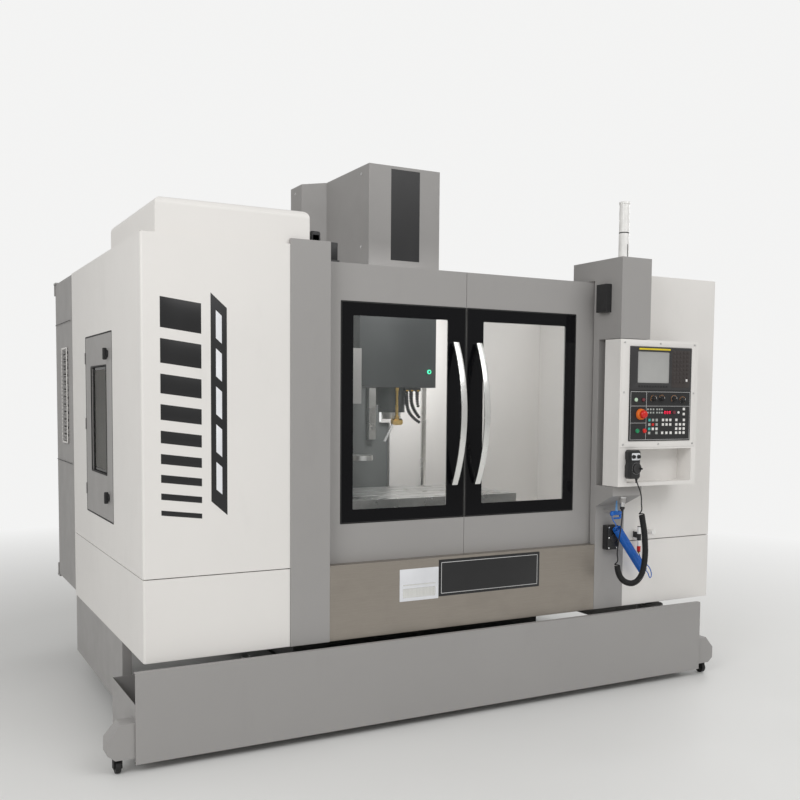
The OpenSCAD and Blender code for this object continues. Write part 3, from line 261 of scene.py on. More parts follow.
def powder_coat(name, base, roughness=0.42):
    """Satin powder coat: a fine orange peel, faint handling marks and a little dust."""
    paint = Paintbox(name, base, roughness)
    clouds = paint.span(paint.noise(1.3, 4.0), 0.0, 1.0)
    body = paint.tint(clouds, shade(base, 0.965), shade(base, 1.02))
    smears = paint.span(paint.noise(5.0, 8.0, (1, 1, 0.35), 0.7), 0.0, 0.35, 0.56, 0.78)
    paint.colour_from(paint.tint(smears, body, shade(base, 0.86)))
    paint.roughness_from(paint.span(paint.noise(9.0, 5.0), roughness - 0.06, roughness + 0.07))
    paint.bump(paint.noise(420.0, 2.0), 0.12, 0.0004)
    return paint.material


def casting(name, base):
    """Paint on a rough casting."""
    paint = Paintbox(name, base, 0.55)
    clouds = paint.span(paint.noise(2.0, 5.0), 0.0, 1.0)
    body = paint.tint(clouds, shade(base, 0.9), shade(base, 1.06))
    oil = paint.span(paint.noise(7.0, 6.0), 0.0, 0.5, 0.58, 0.75)
    paint.colour_from(paint.tint(oil, body, shade(base, 0.6)))
    paint.roughness_from(paint.span(paint.noise(7.0, 6.0), 0.6, 0.38))
    paint.bump(paint.noise(160.0, 6.0), 0.35, 0.001)
    return paint.material


def brushed(name, base, roughness, along=(2, 2, 260), metallic=1.0):
    """Brushed or ground sheet with its grain along one way, and the smudges of hands and film glue."""
    paint = Paintbox(name, base, roughness, metallic)
    grain = paint.noise(6.0, 4.0, along, 0.7)
    body = paint.tint(paint.span(grain, 0.0, 1.0), shade(base, 0.88), shade(base, 1.08))
    smudge = paint.span(paint.noise(3.2, 7.0, (1, 1, 1.6), 0.65), 0.0, 0.55, 0.52, 0.75)
    paint.colour_from(paint.tint(smudge, body, shade(base, 0.8)))
    paint.roughness_from(paint.span(paint.noise(4.0, 6.0), roughness - 0.08, roughness + 0.12))
    paint.bump(grain, 0.15, 0.0003)
    return paint.material


def moulded(name, base, roughness=0.45, grain=900.0):
    """Moulded plastic with a fine spark texture."""
    paint = Paintbox(name, base, roughness)
    clouds = paint.span(paint.noise(18.0, 4.0), 0.0, 1.0)
    paint.colour_from(paint.tint(clouds, shade(base, 0.92), shade(base, 1.1)))
    paint.roughness_from(paint.span(paint.noise(60.0, 4.0), roughness - 0.07, roughness + 0.08))
    paint.bump(paint.noise(grain, 2.0), 0.15, 0.0003)
    return paint.material


def gloss(name, base, roughness=0.08, mirror=0.5):
    """Gloss enamel or screen print with a few wipe marks."""
    paint = Paintbox(name, base, roughness)
    paint.shader.inputs["Specular IOR Level"].default_value = mirror
    clouds = paint.span(paint.noise(4.0, 4.0), 0.0, 1.0)
    paint.colour_from(paint.tint(clouds, shade(base, 0.9), shade(base, 1.1)))
    paint.roughness_from(paint.span(paint.noise(14.0, 6.0, (1, 1, 0.3)), roughness, roughness + 0.1, 0.5,
        0.8))
    return paint.material


def clear_glass(name):
    """Clear sheet glass: it shows what is behind it, with a faint green and some gloss."""
    paint = Paintbox(name, (0.80, 0.86, 0.84), 0.03)
    film = paint.span(paint.noise(3.0, 6.0, (1, 1, 0.6)), 0.02, 0.05)
    paint.link(film, paint.shader.inputs["Alpha"])
    paint.roughness_from(paint.span(paint.noise(8.0, 5.0), 0.02, 0.08))
    return paint.material


def glow(name, base, strength):
    """A lit lamp or digit behind a coloured lens."""
    paint = Paintbox(name, base, 0.3)
    paint.shader.inputs["Emission Color"].default_value = (*base, 1.0)
    paint.shader.inputs["Emission Strength"].default_value = strength
    paint.colour_from(paint.tint(paint.span(paint.noise(300.0), 0.0, 1.0), shade(base, 0.85), base))
    return paint.material


FINISH = {}


def make_finishes(settings):
    """Every finish of the machine, by a short name."""
    FINISH.update({
        "white": powder_coat("white_powder_coat", settings.white_paint),
        "grey": powder_coat("grey_powder_coat", settings.grey_paint, 0.46),
        "casting": casting("casting_paint", settings.casting_paint),
        "dark": powder_coat("dark_satin_paint", settings.dark_paint, 0.4),
        "apron": brushed("brushed_stainless", settings.stainless, 0.34, metallic=0.85),
        "steel": brushed("ground_steel", settings.steel, 0.3, (3, 3, 3)),
        "bar": brushed("satin_aluminium", (0.82, 0.82, 0.80), 0.24, (90, 90, 1.5)),
        "chrome": brushed("polished_chrome", (0.86, 0.86, 0.86), 0.09, (4, 4, 4)),
        "brass": brushed("turned_brass", (0.68, 0.46, 0.13), 0.24, (5, 5, 5)),
        "frit": gloss("black_glass_border", (0.004, 0.004, 0.005), 0.07, 0.16),
        "glass": clear_glass("clear_glass"),
        "black": moulded("black_plastic", (0.016, 0.016, 0.017)),
        "panel": moulded("panel_foil", (0.018, 0.018, 0.019), 0.34, 500.0),
        "bezel": moulded("bezel_plastic", (0.034, 0.033, 0.034), 0.4),
        "black_paint": powder_coat("black_paint", (0.018, 0.018, 0.018), 0.4),
        "rubber": moulded("black_rubber", (0.007, 0.007, 0.007), 0.6, 700.0),
        "white_plastic": moulded("white_plastic", (0.80, 0.79, 0.77), 0.32),
        "lens": moulded("opal_lens", (0.84, 0.83, 0.81), 0.2, 300.0),
        "screen": gloss("screen_glass", (0.40, 0.40, 0.39), 0.18),
        "red": gloss("red_plastic", (0.62, 0.018, 0.012), 0.2),
        "orange": gloss("orange_ring", (0.78, 0.16, 0.02), 0.25),
        "green": gloss("green_plastic", (0.015, 0.27, 0.11), 0.2),
        "teal": gloss("teal_plastic", (0.06, 0.45, 0.40), 0.25),
        "yellow": gloss("yellow_print", (0.80, 0.62, 0.02), 0.35),
        "blue": gloss("blue_hose", (0.012, 0.13, 0.52), 0.18),
        "pale_blue": gloss("pale_blue_nozzle", (0.16, 0.36, 0.66), 0.25),
        "ink": gloss("black_vinyl", (0.012, 0.012, 0.013), 0.3),
        "plate": gloss("white_plate", (0.80, 0.81, 0.84), 0.28),
        "line": gloss("white_print", (0.62, 0.62, 0.62), 0.4),
        "brown": moulded("key_field_film", (0.042, 0.034, 0.032), 0.38, 420.0),
        "amber": gloss("amber_print", (0.56, 0.23, 0.05), 0.4),
        "maroon": gloss("maroon_dial", (0.16, 0.035, 0.045), 0.25),
        "pale_key": moulded("pale_key_caps", (0.42, 0.44, 0.42), 0.34),
        "pale_green": gloss("pale_green_lens", (0.50, 0.66, 0.50), 0.2),
        "red_digit": glow("red_digits", (1.0, 0.02, 0.08), 1.6),
        "green_lamp": glow("green_lamp", (0.05, 0.85, 0.45), 1.6),
        "work_light": glow("work_light", (1.0, 0.99, 0.96), 2.2),
    })


# Shapes
def piece(name, mesh, body, finish, replaces=()):
    """Links a mesh as a piece that rides on a body, in its finish if one is given, and hides the frame nodes
    it replaces.
    """
    mesh.name = name
    obj = bpy.data.objects.new(name, mesh)
    bpy.context.scene.collection.objects.link(obj)
    if finish:
        mesh.materials.clear()
        mesh.materials.append(FINISH[finish])
    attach(obj, body)
    if replaces:
        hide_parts(*replaces)
    return obj


def mesh_of(bm, smooth_angle=35.0):
    """A mesh from bmesh, with outward faces, smooth where its edges are shallow."""
    bmesh.ops.remove_doubles(bm, verts=bm.verts, dist=1e-6)
    bmesh.ops.recalc_face_normals(bm, faces=bm.faces)
    limit = math.radians(smooth_angle)
    for face in bm.faces:
        face.smooth = True
    for edge in bm.edges:
        edge.smooth = len(edge.link_faces) == 2 and edge.calc_face_angle(0.0) < limit
    mesh = bpy.data.meshes.new("mesh")
    bm.to_mesh(mesh)
    bm.free()
    return mesh


def add_block(bm, low, high, round_by=0.0, segments=2):
    """A block between two corners in millimetres, with rounded edges."""
    a, b = at(*low), at(*high)
    size = Vector(abs(b[i] - a[i]) for i in range(3))
    place = Matrix.Translation((a + b) / 2) @ Matrix.Diagonal((*size, 1))
    made = bmesh.ops.create_cube(bm, size=1.0, matrix=place)
    if round_by:
        edges = {e for v in made["verts"] for e in v.link_edges}
        width = min(round_by * MM, min(size) * 0.45)
        bmesh.ops.bevel(bm, geom=list(edges), offset=width, segments=segments, profile=0.5, affect="EDGES")
    return bm


def solid_piece(name, shapes, body, finish, replaces=()):
    """One piece from a few shapes, each given as the function that adds it and its measures."""
    bm = bmesh.new()
    for add, *measures in shapes:
        add(bm, *measures)
    return piece(name, mesh_of(bm), body, finish, replaces)


def block_piece(name, blocks, body, finish, round_by=1.5, replaces=()):
    """One piece from a few rounded blocks."""
    shapes = [(add_block, low, high, round_by) for low, high in blocks]
    return solid_piece(name, shapes, body, finish, replaces)


def add_rings(bm, place, profile, sides):
    """Rings about a place's Z, joined with faces and closed at both ends. The profile is in millimetres."""
    rings = []
    for radius, height in profile:
        around = [2 * math.pi * k / sides for k in range(sides if radius > 1e-6 else 1)]
        spots = [Vector((radius * math.cos(a), radius * math.sin(a), height)) * MM for a in around]
        rings.append([bm.verts.new(place @ spot) for spot in spots])
    for lower, upper in zip(rings, rings[1:]):
        for k in range(sides):
            n = (k + 1) % sides
            corners = dict.fromkeys([lower[k % len(lower)], lower[n % len(lower)],
                                     upper[n % len(upper)], upper[k % len(upper)]])
            if len(corners) > 2:
                bm.faces.new(list(corners))
    for ring in (rings[0], rings[-1]):
        if len(ring) > 1:
            bm.faces.new(ring)
    return bm


def add_turned(bm, centre, profile, axis="Z", sides=40):
    """A turned shape: the profile's points are radius and height along the axis, in millimetres."""
    turn = {"Z": Matrix.Identity(4), "X": Matrix.Rotation(math.pi / 2, 4, "Y"),
            "Y": Matrix.Rotation(-math.pi / 2, 4, "X"), "-Y": Matrix.Rotation(math.pi / 2, 4, "X"),
            "-X": Matrix.Rotation(-math.pi / 2, 4, "Y")}[axis]
    return add_rings(bm, Matrix.Translation(at(*centre)) @ turn, profile, sides)


def turned_piece(name, centre, profile, body, finish, axis="Z", sides=40, replaces=()):
    """One turned piece."""
    return solid_piece(name, [(add_turned, centre, profile, axis, sides)], body, finish, replaces)


def rounded(x0, y0, x1, y1, radius, steps=5):
    """The outline of a rectangle with round corners."""
    radius = min(radius, (x1 - x0) / 2, (y1 - y0) / 2)
    if radius <= 0:
        return [(x0, y0), (x1, y0), (x1, y1), (x0, y1)]
    points = []
    for cx, cy, start in ((x1 - radius, y0 + radius, -90), (x1 - radius, y1 - radius, 0),
                          (x0 + radius, y1 - radius, 90), (x0 + radius, y0 + radius, 180)):
        for k in range(steps + 1):
            a = math.radians(start + 90 * k / steps)
            points.append((cx + radius * math.cos(a), cy + radius * math.sin(a)))
    return points


def ring_outline(x, y, radius, steps=40):
    """A circle as an outline."""
    return [(x + radius * math.cos(2 * math.pi * k / steps), y + radius * math.sin(2 * math.pi * k / steps))
            for k in range(steps)]


def plate_mesh(outlines, thickness, face, plane, bevel=0.3):
    """A flat plate from outlines in millimetres, the inner ones holes, with its outer face at the plane."""
    curve = bpy.data.curves.new("outline", "CURVE")
    curve.dimensions = "2D"
    curve.fill_mode = "BOTH"
    bevel = min(bevel, thickness * 0.4)
    curve.extrude = (thickness / 2 - bevel) * MM
    curve.bevel_depth = bevel * MM
    curve.offset = -bevel * MM
    curve.bevel_resolution = 1
    for outline in outlines:
        spline = curve.splines.new("POLY")
        spline.points.add(len(outline) - 1)
        for point, (x, y) in zip(spline.points, outline):
            point.co = (x * MM, y * MM, 0, 1)
        spline.use_cyclic_u = True
    holder = bpy.data.objects.new("outline", curve)
    bpy.context.scene.collection.objects.link(holder)
    mesh = bpy.data.meshes.new_from_object(holder.evaluated_get(bpy.context.evaluated_depsgraph_get()))
    bpy.data.objects.remove(holder)
    bpy.data.curves.remove(curve)
    middle = plane + thickness / 2
    if face == "front":
        mesh.transform(Matrix.Translation(at(0, middle, 0)) @ TO_FRONT)
    else:
        mesh.transform(Matrix.Translation(at(middle, 0, 0)) @ TO_LEFT)
    bm = bmesh.new()
    bm.from_mesh(mesh)
    bpy.data.meshes.remove(mesh)
    return mesh_of(bm)


def plate_piece(name, outlines, thickness, plane, body, finish, face="front", bevel=0.3, replaces=()):
    """One flat piece. On the left face an outline's first number is minus its Y."""
    return piece(name, plate_mesh(outlines, thickness, face, plane, bevel), body, finish, replaces)


def joined(meshes):
    """Several meshes as one."""
    bm = bmesh.new()
    for mesh in meshes:
        bm.from_mesh(mesh)
        bpy.data.meshes.remove(mesh)
    whole = bpy.data.meshes.new("joined")
    bm.to_mesh(whole)
    bm.free()
    return whole


def smooth_route(points, step):
    """Points a step apart on a smooth curve through the given ones, in millimetres."""
    points = [Vector(p) for p in points]
    padded = [points[0] * 2 - points[1], *points, points[-1] * 2 - points[-2]]
    fine = []
    for a, b, c, d in zip(padded, padded[1:], padded[2:], padded[3:]):
        count = max(2, int((c - b).length / step * 4))
        for k in range(count):
            t = k / count
            fine.append(0.5 * (2 * b + (c - a) * t + (2 * a - 5 * b + 4 * c - d) * t * t
                               + (3 * b - a - 3 * c + d) * t ** 3))
    fine.append(points[-1])
    return evenly(fine, step)


def evenly(points, step):
    """The same line with its points evenly spaced, about a step apart."""
    run = [0.0]
    for a, b in zip(points, points[1:]):
        run.append(run[-1] + (b - a).length)
    count = max(1, round(run[-1] / step))
    result, k = [], 0
    for i in range(count + 1):
        goal = run[-1] * i / count
        while k < len(run) - 2 and run[k + 1] < goal:
            k += 1
        span = max(run[k + 1] - run[k], 1e-9)
        result.append(points[k].lerp(points[k + 1], min(1.0, (goal - run[k]) / span)))
    return result


def wound(before, coil, after, radius, pitch, per_turn):
    """A helix round the middle one of three lines, which opens and closes mostly in the outer two."""
    line = evenly([Vector(p) for p in before[:-1] + coil + after[1:]], pitch / per_turn / 3)
    step = measured(line) / (len(line) - 1)
    side = (line[1] - line[0]).orthogonal().normalized()
    start, inside = measured(before), radius * 1.5
    end = start + measured(coil)
    lead, trail = min(radius * 4, start - 1), min(radius * 4, measured(after) - 1)
    angle, result = 0.0, []
    for k, point in enumerate(line):
        ahead = (line[min(k + 1, len(line) - 1)] - line[max(k - 1, 0)]).normalized()
        side = (side - ahead * side.dot(ahead)).normalized()
        opening = (k * step - start + lead) / (inside + lead)
        closing = (end + trail - k * step) / (inside + trail)
        near = max(0.0, min(1.0, opening, closing))
        ease = near * near * (3 - 2 * near)
        angle += 2 * math.pi * step / (pitch + (1 - ease ** 3) * radius * 10)
        result.append(point + radius * ease * (math.cos(angle) * side
            + math.sin(angle) * ahead.cross(side)))
    return evenly(result, 2 * math.pi * radius / per_turn)


def measured(points):
    """The length of a line through points."""
    return sum((b - a).length for a, b in zip(points, points[1:]))


def tube_curve(name, points, radius):
    """A round tube along points in metres, as a curve of one open spline."""
    curve = bpy.data.curves.new(name, "CURVE")
    curve.dimensions = "3D"
    curve.bevel_depth = radius
    curve.bevel_resolution = 4
    curve.use_fill_caps = True
    spline = curve.splines.new("POLY")
    spline.points.add(len(points) - 1)
    for target, point in zip(spline.points, points):
        target.co = (*point, 1)
    obj = bpy.data.objects.new(name, curve)
    bpy.context.scene.collection.objects.link(obj)
    return obj


def swept_mesh(route, section, side):
    """A section swept along a route in metres, with its own X along the side, and closed ends."""
    bm = bmesh.new()
    rings = []
    for k, point in enumerate(route):
        ahead = (route[min(k + 1, len(route) - 1)] - route[max(k - 1, 0)]).normalized()
        side = (side - ahead * side.dot(ahead)).normalized()
        other = ahead.cross(side)
        rings.append([bm.verts.new(point + side * u * MM + other * v * MM) for u, v in section])
    for lower, upper in zip(rings, rings[1:]):
        for k in range(len(section)):
            n = (k + 1) % len(section)
            bm.faces.new([lower[k], lower[n], upper[n], upper[k]])
    for ring in (rings[0], rings[-1]):
        bm.faces.new(ring)
    return mesh_of(bm, 40.0)


# Rules for what repeats, or follows a line
class Recipe:
    """A geometry node tree with named inputs, which ends in Realize Instances and Set Material."""

    def __init__(self, name, *inputs):
        self.tree = bpy.data.node_groups.new(name, "GeometryNodeTree")
        self.tree.is_modifier = True
        self.sockets = {}
        self.tree.interface.new_socket("Geometry", in_out="INPUT", socket_type="NodeSocketGeometry")
        for label, kind, default in (*inputs, ("Material", "Material", None)):
            socket = self.tree.interface.new_socket(label, in_out="INPUT", socket_type="NodeSocket" + kind)
            if default is not None:
                socket.default_value = default
            self.sockets[label] = socket.identifier
        self.tree.interface.new_socket("Geometry", in_out="OUTPUT", socket_type="NodeSocketGeometry")
        self.start = self.tree.nodes.new("NodeGroupInput")

    def value(self, label):
        return self.start.outputs[label]

    def node(self, kind, inputs=None, **settings):
        """A node with its settings, and with its inputs linked or given a number."""
        node = self.tree.nodes.new(kind)
        for key, value in settings.items():
            setattr(node, key, value)
        for key, value in (inputs or {}).items():
            if isinstance(value, bpy.types.NodeSocket):
                self.tree.links.new(value, node.inputs[key])
            else:
                node.inputs[key].default_value = value
        return node

    def out(self, kind, inputs=None, **settings):
        """The first output of a new node."""
        return self.node(kind, inputs, **settings).outputs[0]

    def sum(self, operation, a, b):
        """Two numbers added, or put together by another operation."""
        return self.out("ShaderNodeMath", {0: a, 1: b}, operation=operation)

    def close(self, geometry):
        """The tree's end."""
        real = self.node("GeometryNodeRealizeInstances", {0: geometry}).outputs[0]
        painted = self.node("GeometryNodeSetMaterial",
            {"Geometry": real, "Material": self.value("Material")})
        end = self.tree.nodes.new("NodeGroupOutput")
        self.tree.links.new(painted.outputs[0], end.inputs[0])
        return self

    def attach(self, obj, finish, **values):
        """The recipe as a modifier, its inputs set by their sockets' identifiers."""
        modifier = obj.modifiers.new(self.tree.name, "NODES")
        modifier.node_group = self.tree
        for label, value in {**values, "Material": FINISH[finish]}.items():
            modifier[self.sockets[label.replace("_", " ")]] = value
        return modifier

    def grow(self, seed, finish, **values):
        """The plain mesh that the recipe makes from a seed mesh."""
        holder = bpy.data.objects.new("seed", seed)
        bpy.context.scene.collection.objects.link(holder)
        modifier = self.attach(holder, finish, **values)
        evaluated = holder.evaluated_get(bpy.context.evaluated_depsgraph_get())
        mesh = bpy.data.meshes.new_from_object(evaluated)
        holder.modifiers.remove(modifier)
        bpy.data.objects.remove(holder)
        bpy.data.meshes.remove(seed)
        return mesh


def copies_recipe():
    """A small shape set on every point and turned to face one way, each with its own slight spin."""
    recipe = Recipe("copies_on_points", ("Copy", "Object", None), ("Turn", "Vector", (0, 0, 0)),
                    ("Spin", "Float", 0.0))
    copy = recipe.node("GeometryNodeObjectInfo", {"Object": recipe.value("Copy"), "As Instance": True})
    turn = recipe.out("FunctionNodeEulerToRotation", {0: recipe.value("Turn")})
    placed = recipe.node("GeometryNodeInstanceOnPoints", {
        "Points": recipe.value("Geometry"), "Instance": copy.outputs["Geometry"], "Rotation": turn})
    least = recipe.sum("MULTIPLY", recipe.value("Spin"), -1.0)
    spin = recipe.node("FunctionNodeRandomValue", {"Seed": 7}, data_type="FLOAT")
    recipe.tree.links.new(least, spin.inputs[2])
    recipe.tree.links.new(recipe.value("Spin"), spin.inputs[3])
    about = recipe.out("ShaderNodeCombineXYZ", {"Z": spin.outputs[1]})
    own = recipe.out("FunctionNodeEulerToRotation", {0: about})
    spun = recipe.node("GeometryNodeRotateInstances", {"Instances": placed.outputs[0], "Rotation": own,
                                                       "Local Space": True})
    return recipe.close(spun.outputs[0])


def border_recipe():
    """A flat border round a clear opening with round corners, standing up by its thickness."""
    recipe = Recipe("window_border", ("Width", "Float", 0.6), ("Height", "Float", 0.9),
                    ("Left border", "Float", 0.05), ("Right border", "Float", 0.05),
                    ("Far border", "Float", 0.05), ("Corner", "Float", 0.005),
                    ("Thickness", "Float", 0.005))
    outer = recipe.out("GeometryNodeCurvePrimitiveQuadrilateral", {
        "Width": recipe.value("Width"), "Height": recipe.value("Height")})
    sides = recipe.sum("ADD", recipe.value("Left border"), recipe.value("Right border"))
    ends = recipe.sum("MULTIPLY", recipe.value("Far border"), 2.0)
    shift = recipe.sum("SUBTRACT", recipe.value("Left border"), recipe.value("Right border"))
    opening = recipe.out("GeometryNodeCurvePrimitiveQuadrilateral", {
        "Width": recipe.sum("SUBTRACT", recipe.value("Width"), sides),
        "Height": recipe.sum("SUBTRACT", recipe.value("Height"), ends)})
    soft = recipe.out("GeometryNodeFilletCurve", {"Curve": opening, "Radius": recipe.value("Corner"),
                                                  "Count": 6}, mode="POLY")
    across = recipe.out("ShaderNodeCombineXYZ", {"X": recipe.sum("MULTIPLY", shift, 0.5)})
    moved = recipe.out("GeometryNodeTransform", {"Geometry": soft, "Translation": across})
    both = recipe.node("GeometryNodeJoinGeometry")
    recipe.tree.links.new(outer, both.inputs[0])
    recipe.tree.links.new(moved, both.inputs[0])
    flat = recipe.out("GeometryNodeFillCurve", {0: both.outputs[0]}, mode="NGONS")
    raised = recipe.node("GeometryNodeExtrudeMesh", {
        "Mesh": flat, "Offset": (0, 0, 1), "Offset Scale": recipe.value("Thickness"), "Individual": False},
        mode="FACES")
    under = recipe.out("GeometryNodeFlipFaces", {0: flat})
    whole = recipe.node("GeometryNodeJoinGeometry")
    recipe.tree.links.new(raised.outputs[0], whole.inputs[0])
    recipe.tree.links.new(under, whole.inputs[0])
    closed = recipe.out("GeometryNodeMergeByDistance", {0: whole.outputs[0], "Distance": 1e-6})
    return recipe.close(closed)


def segments_recipe():
    """Equal links along a line, each a little smaller than the one before."""
    recipe = Recipe("links_along_line", ("Copy", "Object", None), ("Pitch", "Float", 0.01),
                    ("End size", "Float", 0.8))
    line = recipe.out("GeometryNodeMeshToCurve", {0: recipe.value("Geometry")})
    even = recipe.out("GeometryNodeResampleCurve", {"Curve": line, "Length": recipe.value("Pitch")},
                      mode="LENGTH")
    ahead = recipe.out("GeometryNodeInputTangent")
    aim = recipe.out("FunctionNodeAlignRotationToVector", {"Vector": ahead}, axis="Z")
    along = recipe.node("GeometryNodeSplineParameter").outputs["Factor"]
    size = recipe.out("ShaderNodeMapRange", {"Value": along, 3: 1.0, 4: recipe.value("End size")})
    copy = recipe.node("GeometryNodeObjectInfo", {"Object": recipe.value("Copy"), "As Instance": True})
    placed = recipe.node("GeometryNodeInstanceOnPoints", {
        "Points": even, "Instance": copy.outputs["Geometry"], "Rotation": aim, "Scale": size})
    return recipe.close(placed.outputs[0])


def slats_recipe():
    """A row of slats, as many as fit, each tilted by the same angle."""
    recipe = Recipe("row_of_slats", ("Row length", "Float", 0.5), ("Pitch", "Float", 0.04),
                    ("Slat length", "Float", 0.14), ("Slat width", "Float", 0.02),
                    ("Slat thickness", "Float", 0.0015), ("Tilt", "Float", 0.6))
    count = recipe.out("ShaderNodeMath", {0: recipe.sum("DIVIDE", recipe.value("Row length"),
                                                        recipe.value("Pitch"))}, operation="FLOOR")
    step = recipe.out("ShaderNodeCombineXYZ", {"Z": recipe.value("Pitch")})
    row = recipe.out("GeometryNodeMeshLine", {"Count": count, "Offset": step}, mode="OFFSET")
    size = recipe.node("ShaderNodeCombineXYZ", {"X": recipe.value("Slat width"),
        "Y": recipe.value("Slat length"), "Z": recipe.value("Slat thickness")})
    slat = recipe.out("GeometryNodeMeshCube", {"Size": size.outputs[0]})
    lean = recipe.out("ShaderNodeCombineXYZ", {"Y": recipe.value("Tilt")})
    turn = recipe.out("FunctionNodeEulerToRotation", {0: lean})
    placed = recipe.node("GeometryNodeInstanceOnPoints", {"Points": row, "Instance": slat,
        "Rotation": turn})
    whole = recipe.node("GeometryNodeJoinGeometry")
    recipe.tree.links.new(placed.outputs[0], whole.inputs[0])
    recipe.tree.links.new(recipe.value("Geometry"), whole.inputs[0])
    return recipe.close(whole.outputs[0])


def soften_recipe():
    """Smooth shading where an edge is shallow, and sharp where it isn't."""
    recipe = Recipe("smooth_by_angle", ("Angle", "Float", math.radians(32)))
    angle = recipe.out("GeometryNodeInputMeshEdgeAngle")
    shallow = recipe.out("FunctionNodeCompare", {0: angle, 1: recipe.value("Angle")},
                         data_type="FLOAT", operation="LESS_EQUAL")
    faces = recipe.out("GeometryNodeSetShadeSmooth", {0: recipe.value("Geometry"), "Shade Smooth": True},
                       domain="FACE")
    edges = recipe.out("GeometryNodeSetShadeSmooth", {0: faces, "Shade Smooth": shallow},
                       domain="EDGE")
    return recipe.close(edges)


RECIPES = {}
TO_FRONT_TURN = (math.pi / 2, 0, 0)
TO_REAR_TURN = (-math.pi / 2, 0, 0)
TO_LEFT_TURN = (0, -math.pi / 2, 0)
TO_RIGHT_TURN = (0, math.pi / 2, 0)


def points_mesh(points, as_line=False):
    """Bare points given in millimetres, or one line through them."""
    mesh = bpy.data.meshes.new("points")
    edges = [(k, k + 1) for k in range(len(points) - 1)] if as_line else []
    mesh.from_pydata([at(*p) for p in points], edges, [])
    return mesh


def copy_object(name, mesh):
    """A small shape that a recipe repeats. It is deleted once the recipes have run."""
    obj = bpy.data.objects.new(name, mesh)
    bpy.context.scene.collection.objects.link(obj)
    return obj


def repeated(name, shape, points, turn, body, finish, spin=0.0):
    """A small shape on every point, as one piece."""
    copy = copy_object("copy", shape)
    mesh = RECIPES["copies"].grow(points_mesh(points), finish, Copy=copy, Turn=turn, Spin=spin)
    bpy.data.objects.remove(copy)
    bpy.data.meshes.remove(shape)
    return piece(name, mesh, body, None)


def turned_mesh(profile, sides=24):
    """A turned shape about Z at the origin, its profile in millimetres."""
    return mesh_of(add_rings(bmesh.new(), Matrix.Identity(4), profile, sides))


def screw_mesh(radius):
    """A cap screw's head with a socket, standing on its seat."""
    r = radius / MM
    return turned_mesh([(r * 1.25, 0), (r * 1.25, 0.5), (r, 0.5), (r, 2.6), (r * 0.86, 3.0), (r * 0.5, 3.0),
                        (r * 0.5, 1.4), (0, 1.4)], 18)


def cap_mesh(width, height, rise, edge=0.7):
    """A key cap or small tile at the origin that stands up along Z."""
    bm = bmesh.new()
    bmesh.ops.create_cube(bm, size=1.0, matrix=Matrix.Translation((0, 0, rise / 2))
                          @ Matrix.Diagonal((width, height, rise, 1)))
    top = []
    for line in bm.edges:
        one, other = (vert.co.z for vert in line.verts)
        if (one > 0 and other > 0) or one * other <= 0:
            top.append(line)
    bmesh.ops.bevel(bm, geom=top, offset=min(edge * MM, rise * 0.4), segments=2, profile=0.5,
        affect="EDGES")
    return mesh_of(bm)


def slanted(x0, x1, z0, z1, lean):
    """An upright band with both ends cut aslant."""
    return [(x0, z0), (x1, z0 + lean), (x1, z1 + lean), (x0, z1)]


